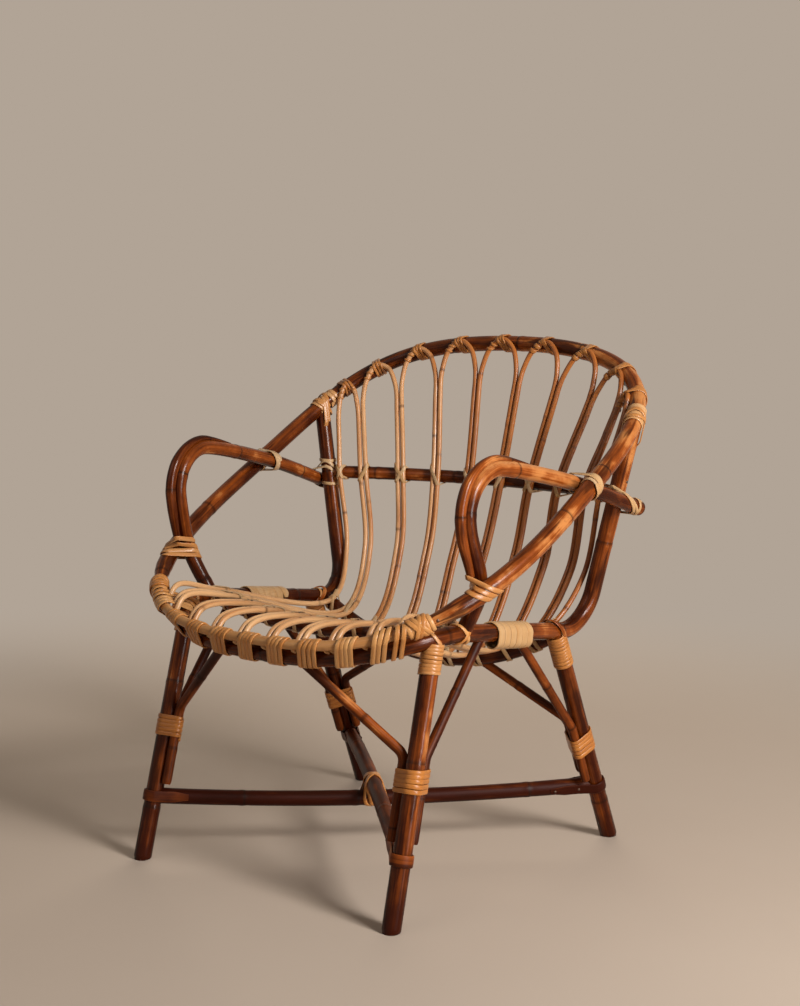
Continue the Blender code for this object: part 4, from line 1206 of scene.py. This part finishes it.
def post_bindings(side, word, seed):
    """Arm end and cross rail to the back post, and the post's top to the rim."""
    out = side * X
    post = on_side(post_line, side)
    arm = on_side(arm_line, side)
    way = on_side(post_way, side)
    spot = on_side((arm_hold + post_at(ARM_END_Z)) / 2, side)
    end_way = on_side(unit(arm_end - arm_hold), side)
    poles = [(post, FRAME_R), (arm, ARM_R)]
    ties = [turned(poles, spot, unit(way + end_way), out, 2, 2 * TIE[0], seed, TIE)]
    spot = spot + end_way * ARM_END_TIE
    ties.append(turned(poles[1:], spot, end_way, out, 1.4, 2 * TIE[0], seed + 1, TIE))
    for rise in POST_TIE_RISES if side < 0 else ():
        spot = on_side(post_at(CROSS_RAIL_Z + rise), side)
        axis = tilted(way, -Y, 0.30 * side)
        ties.append(turned(poles[:1], spot, axis, -Y, 1.3, 1.6 * TIE[0], seed + 2, TIE))
    binding(f"ties_post_{word}", ties, TIE, STRAW)

    place = side * length_where(rim_half, 1, POST_TOP_Y)
    spot, along, inward = rim_place(place)
    rim = [(rim_line, RIM_R)]
    both = rim + [(near(post, spot, POST_HOLD), FRAME_R)]
    ahead = rim_place(place - side * POST_WRAP_AHEAD)[0]
    strands = [turned(rim, ahead, along, out, *POST_WRAPS[0], seed + 4, BAND)]
    axis = tilted(along, inward, 0.2)
    shifted = spot + along * POST_WRAP_SHIFT
    strands.append(turned(rim, shifted, axis, out, *POST_WRAPS[1], seed + 5, BAND))
    for lean in (0.6, -0.35):
        axis = tilted(along, inward, lean * side)
        strands.append(turned(both, spot, axis, out, 1.2, 2 * TIE[0], seed + 6, BAND, 1))
    binding(f"binding_post_{word}", strands, BAND)


def corner_binding(side, word, seed):
    """Where the rim ends: close turns, a cross over them, turns down to the rail, and a cross on it."""
    joint = at_length(hoop_half, rim_length)
    along = heading(hoop_half, rim_length, 0.02)
    hoop = [(on_side(hoop_half, side), 0.5 * (RIM_R + BAR_R))]
    rail = [(on_side(seat_half, side), FRAME_R)]
    axis = on_side(along, side)
    out = on_side(unit(joint * (1.0, 1.0, 0.0)), side)
    spot = on_side(joint + along * CORNER_SHIFT, side)
    strands = [turned(hoop, spot, axis, out, CORNER_TURNS, CORNER_STEP, seed, EDGE_STRIP)]
    for number, lean in enumerate((0.55, -0.55)):
        leaned = tilted(axis, out, lean)
        strands.append(turned(hoop, spot, leaned, out, 2, 2 * STRIP[0], seed + 1 + number, EDGE_STRIP, 1))
    for number, (reach, turns, step) in enumerate(CORNER_GROUPS):
        place = rim_length + CORNER_SHIFT + reach
        low = on_side(at_length(hoop_half, place), side)
        axis = tilted(on_side(heading(hoop_half, place, BROAD_LOOK), side), out, EDGE_LEAN)
        strands.append(turned(hoop + rail, low, axis, out, turns, step, seed + 4 + number, EDGE_STRIP))
    rail_way = on_side(heading(seat_half, nearest_length(seat_half, arm_foot)), side)
    spot = on_side(arm_foot, side) - ARM_FOOT_TIE * Y
    for number, lean in enumerate((0.62, -0.62)):
        strands.append(tie(rail, spot, rail_way, side * X, seed + 7 + number, lean, 1.2, STRIP))
    binding(f"binding_corner_{word}", strands, EDGE_STRIP, WRAP)


for word, side in SIDES.items():
    seed = 200 + 60 * (side > 0)
    leg_bindings(side, word, seed)
    splice_binding(side, word, seed + 10)
    arm_bindings(side, word, seed + 12)
    post_bindings(side, word, seed + 20)
    corner_binding(side, word, seed + 30)

# Each arch to the rim: a few turns, and a thin strip wound down the arch's left shoulder
for number, line in enumerate(hairpin_lines):
    place = (places[number] + places[number + 1]) / 2
    spot, along, inward = rim_place(place * top_pitch)
    along = along if along[0] > 0 else -along
    top = nearest_length(line, rim_contact(place, 0.0, ARCH_RISE))
    poles = [(rim_line, RIM_R), (part_of(line, top - CANE_HOLD, top + CANE_HOLD), CANE_R)]
    turns, step, half = ARCH_BROAD if number >= HAIRPINS - BROAD_ARCHES else ARCH_NARROW
    axis = tilted(along, inward, np.clip(ARCH_LEAN[0] + ARCH_LEAN[1] * place, -0.1, 0.6))
    held = turned(poles, spot, axis, inward, turns, step, 310 + number, half, tone=0.85)
    poles = [(part_of(line, *(top - end for end in SHOULDER_ENDS)), CANE_R)]
    middle = at_length(line, top - SHOULDER_DROP)
    way = heading(line, top - SHOULDER_DROP)
    sizes = SHOULDER_TURNS, SHOULDER_STEP, 330 + number, SHOULDER_STRIP
    spiral = turned(poles, middle, way, inward, *sizes, tone=0.85)
    spiral["size"] *= SHOULDER_STRIP[1] / half[1]
    binding(f"binding_hairpin_{number + 1}", [held, spiral], half)


def along_bar(length):
    """Planes of the edge binding's loops, near a length along the bar and leaned over to the left."""

    def place_at(level):
        origin = at_length(bar_line, length - level)
        along = -heading(bar_line, length - level, BROAD_LOOK)
        to_rail = nearest(seat_line, origin) - origin
        leaned = tilted(along, square_to(-Y, along), EDGE_LEAN)
        return origin, frame_of(leaned, -to_rail)

    return place_at


poles = [(bar_line, BAR_R), (seat_line, FRAME_R)]
strands = []
for place in range(int(-EDGE) + 1, int(EDGE)):
    place_at = along_bar(nearest_length(bar_line, where(bar_line, 0, place * front_pitch)))
    strands.append(wound(poles, place_at, EDGE_TURNS, EDGE_STEP, EDGE_STRIP[1], 350 + place, EDGE_START))
binding("binding_front_edge", strands, EDGE_STRIP, WRAP)

# Stretcher crossing
poles = [(line, STRETCHER_R) for line in stretcher_lines.values()]
crossing = sum(where(line, 0, 0.0) for line, _ in poles) / 2
strands = [turned(poles, crossing, axis, UP, 2, 2 * TIE[0], 370, TIE) for axis in (Y, X)]
binding("binding_stretchers", strands, TIE, WRAP)


def rail_ties(name, line, radius, pitch, out, seed, leans):
    """Slanted ties over each pair of strands, the way they lean taken in turn."""
    strands = []
    for number, place in enumerate(places):
        spot = where(line, 0, place * pitch)
        along = heading(line, nearest_length(line, spot), BROAD_LOOK)
        touching = hairpin_lines[max(0, number - 1) : number + 1]
        poles = [(line, radius)] + [(near(cane, spot, CANE_HOLD), CANE_R) for cane in touching]
        for lean in leans[number % len(leans)]:
            strands.append(tie(poles, spot, along, out, seed + len(strands), lean, half=RAIL_TIE))
    binding(name, strands, RAIL_TIE, STRAW)


CROSS_LEANS = (0.6, -0.5), (-0.5,), (0.6, -0.55), (0.5,)
MIDDLE_LEANS = (0.25,), (-0.3,)
REAR_LEANS = (0.5, -0.4), (0.4,), (0.45, -0.5)
rail_ties("ties_cross_rail", cross_line, CROSS_R, cross_pitch, -Y, 400, CROSS_LEANS)
rail_ties("ties_middle_rail", middle_line, MIDDLE_R, middle_pitch, UP, 440, MIDDLE_LEANS)
rail_ties("ties_rear_rail", rear_line, REAR_R, rear_pitch, REAR_UP, 480, REAR_LEANS)

# Nails where poles are fixed to each other
for side in SIDES.values():
    for length in (rim_length + off for off in RIM_NAILS):
        spot = at_length(hoop_half, length)
        way = square_to(X - Y, heading(hoop_half, length))
        radius = np.interp(length, (rim_length - RIM_TAPER, rim_length), (RIM_R, BAR_R))
        nail(on_side(spot + way * radius, side), on_side(way, side))
    way = square_to(X, post_way)
    for z in POST_NAILS:
        nail(on_side(post_at(z) + way * FRAME_R, side), on_side(way, side))
    for _, top in LEGS.values():
        nail(on_side(top + UP * FRAME_R, side), UP)
for line in hairpin_lines:
    for half in np.array_split(line, 2):
        steps = np.linalg.norm(half[:, None] - middle_line[None], axis=2).min(axis=1)
        nail(half[steps.argmin()] + UP * CANE_R, UP)
nail_points = bpy.data.meshes.new("nails")
nail_points.from_pydata([tuple(spot) for spot in nail_spots], [], [])
store(nail_points, "outward", "FLOAT_VECTOR", nail_ways)
made("nails", nail_points, NAILS, {"Radius": NAIL_R}, STEEL)

# Camera
CAMERA_SPOT = (1.4243, -1.8549, 0.7635)
CAMERA_YAW = math.radians(37.1952)
CAMERA_PITCH = math.radians(5.9673)
CAMERA_ROLL = math.radians(0.7728)
FOCAL_SHARE = 1579.95 / 1006  # focal length over the picture's height
SENSOR = 36.0

camera_data = bpy.data.cameras.new("camera")
camera_data.sensor_fit = "VERTICAL"
camera_data.sensor_height = SENSOR
camera_data.lens = SENSOR * FOCAL_SHARE
camera = bpy.data.objects.new("camera", camera_data)
bpy.context.scene.collection.objects.link(camera)
turn = Matrix.Rotation(CAMERA_YAW, 4, "Z") @ Matrix.Rotation(math.pi / 2 - CAMERA_PITCH, 4, "X")
camera.matrix_world = Matrix.Translation(CAMERA_SPOT) @ turn @ Matrix.Rotation(CAMERA_ROLL, 4, "Z")
bpy.context.scene.camera = camera

# Floor and light
BACKDROP = (0.44, 0.37, 0.305)
BLACK = (0.0, 0.0, 0.0)
CHAIR_MIDDLE = (0.0, 0.0, 0.40)


def seen_plainly(bench):
    """1 for what the camera sees, straight or in a shiny or clear surface, and 0 for light on the way."""
    rays = ("Is Camera Ray", "Is Glossy Ray", "Is Transmission Ray")
    camera_ray, glossy_ray, clear_ray = [bench.node("ShaderNodeLightPath", output=name) for name in rays]
    return camera_ray.math("MAXIMUM", glossy_ray).math("MAXIMUM", clear_ray)


def pale_floor():
    """A pale floor of almost one colour, which fades into the backdrop far from the chair."""
    material, bench, shader = new_finish("pale_floor", 0.0)
    shader.inputs["Roughness"].default_value = 0.85
    shader.inputs["Emission Strength"].default_value = 1.0
    place = bench.node("ShaderNodeTexCoord", output=3)
    skin = bench.mix(bench.noise(place, 1.2, 1.2, 4.0), (0.43, 0.35, 0.28), (0.48, 0.40, 0.325))
    away = bench.node("ShaderNodeVectorMath", {"operation": "LENGTH"}, {0: place}, 1)
    far = bench.step(away, 0.8, 2.3) * seen_plainly(bench)
    glow = bench.mix(far, BLACK, BACKDROP)
    plug(bench, shader, Base_Color=bench.mix(far, skin, BLACK), Emission_Color=glow)
    return material


bpy.ops.mesh.primitive_circle_add(vertices=96, radius=9.0, fill_type="NGON")
floor = bpy.context.object
floor.name = "floor"
floor.data.materials.append(pale_floor())


def soft_light(name, spot, target, size, watts, tint, mirrored=True):
    """An oval lamp that the camera doesn't see. mirrored says whether shiny surfaces do."""
    data = bpy.data.lights.new(name, "AREA")
    data.shape = "ELLIPSE"
    data.size, data.size_y = size
    data.energy = watts
    data.color = tint
    lamp = bpy.data.objects.new(name, data)
    bpy.context.scene.collection.objects.link(lamp)
    lamp.rotation_euler = (Vector(spot) - Vector(target)).to_track_quat("Z", "Y").to_euler()
    lamp.location = spot
    lamp.visible_camera = False
    lamp.visible_glossy = mirrored


soft_light("window", (2.9, -0.45, 2.0), CHAIR_MIDDLE, (0.95, 0.95), 110.0, (1.0, 0.965, 0.94))
soft_light("glazed door", (2.9, -0.45, 0.75), (0.0, -0.2, 0.45), (0.60, 1.5), 50.0, (1.0, 0.96, 0.97))
soft_light("room", (-0.6, -3.0, 2.4), CHAIR_MIDDLE, (2.6, 2.6), 15.0, (1.0, 0.95, 0.90))
soft_light("wall bounce", (-1.5, 2.3, 1.5), CHAIR_MIDDLE, (2.6, 2.0), 48.0, (1.0, 0.92, 0.83), False)

world = bpy.data.worlds.new("studio")
bpy.context.scene.world = world
world.use_nodes = True
bench = Bench(world.node_tree)
sky = world.node_tree.nodes["Background"]
plug(bench, sky, Color=bench.mix(seen_plainly(bench), (0.095, 0.083, 0.071), BACKDROP))
sky.inputs["Strength"].default_value = 1.0
bpy.context.scene.view_settings.view_transform = "Standard"
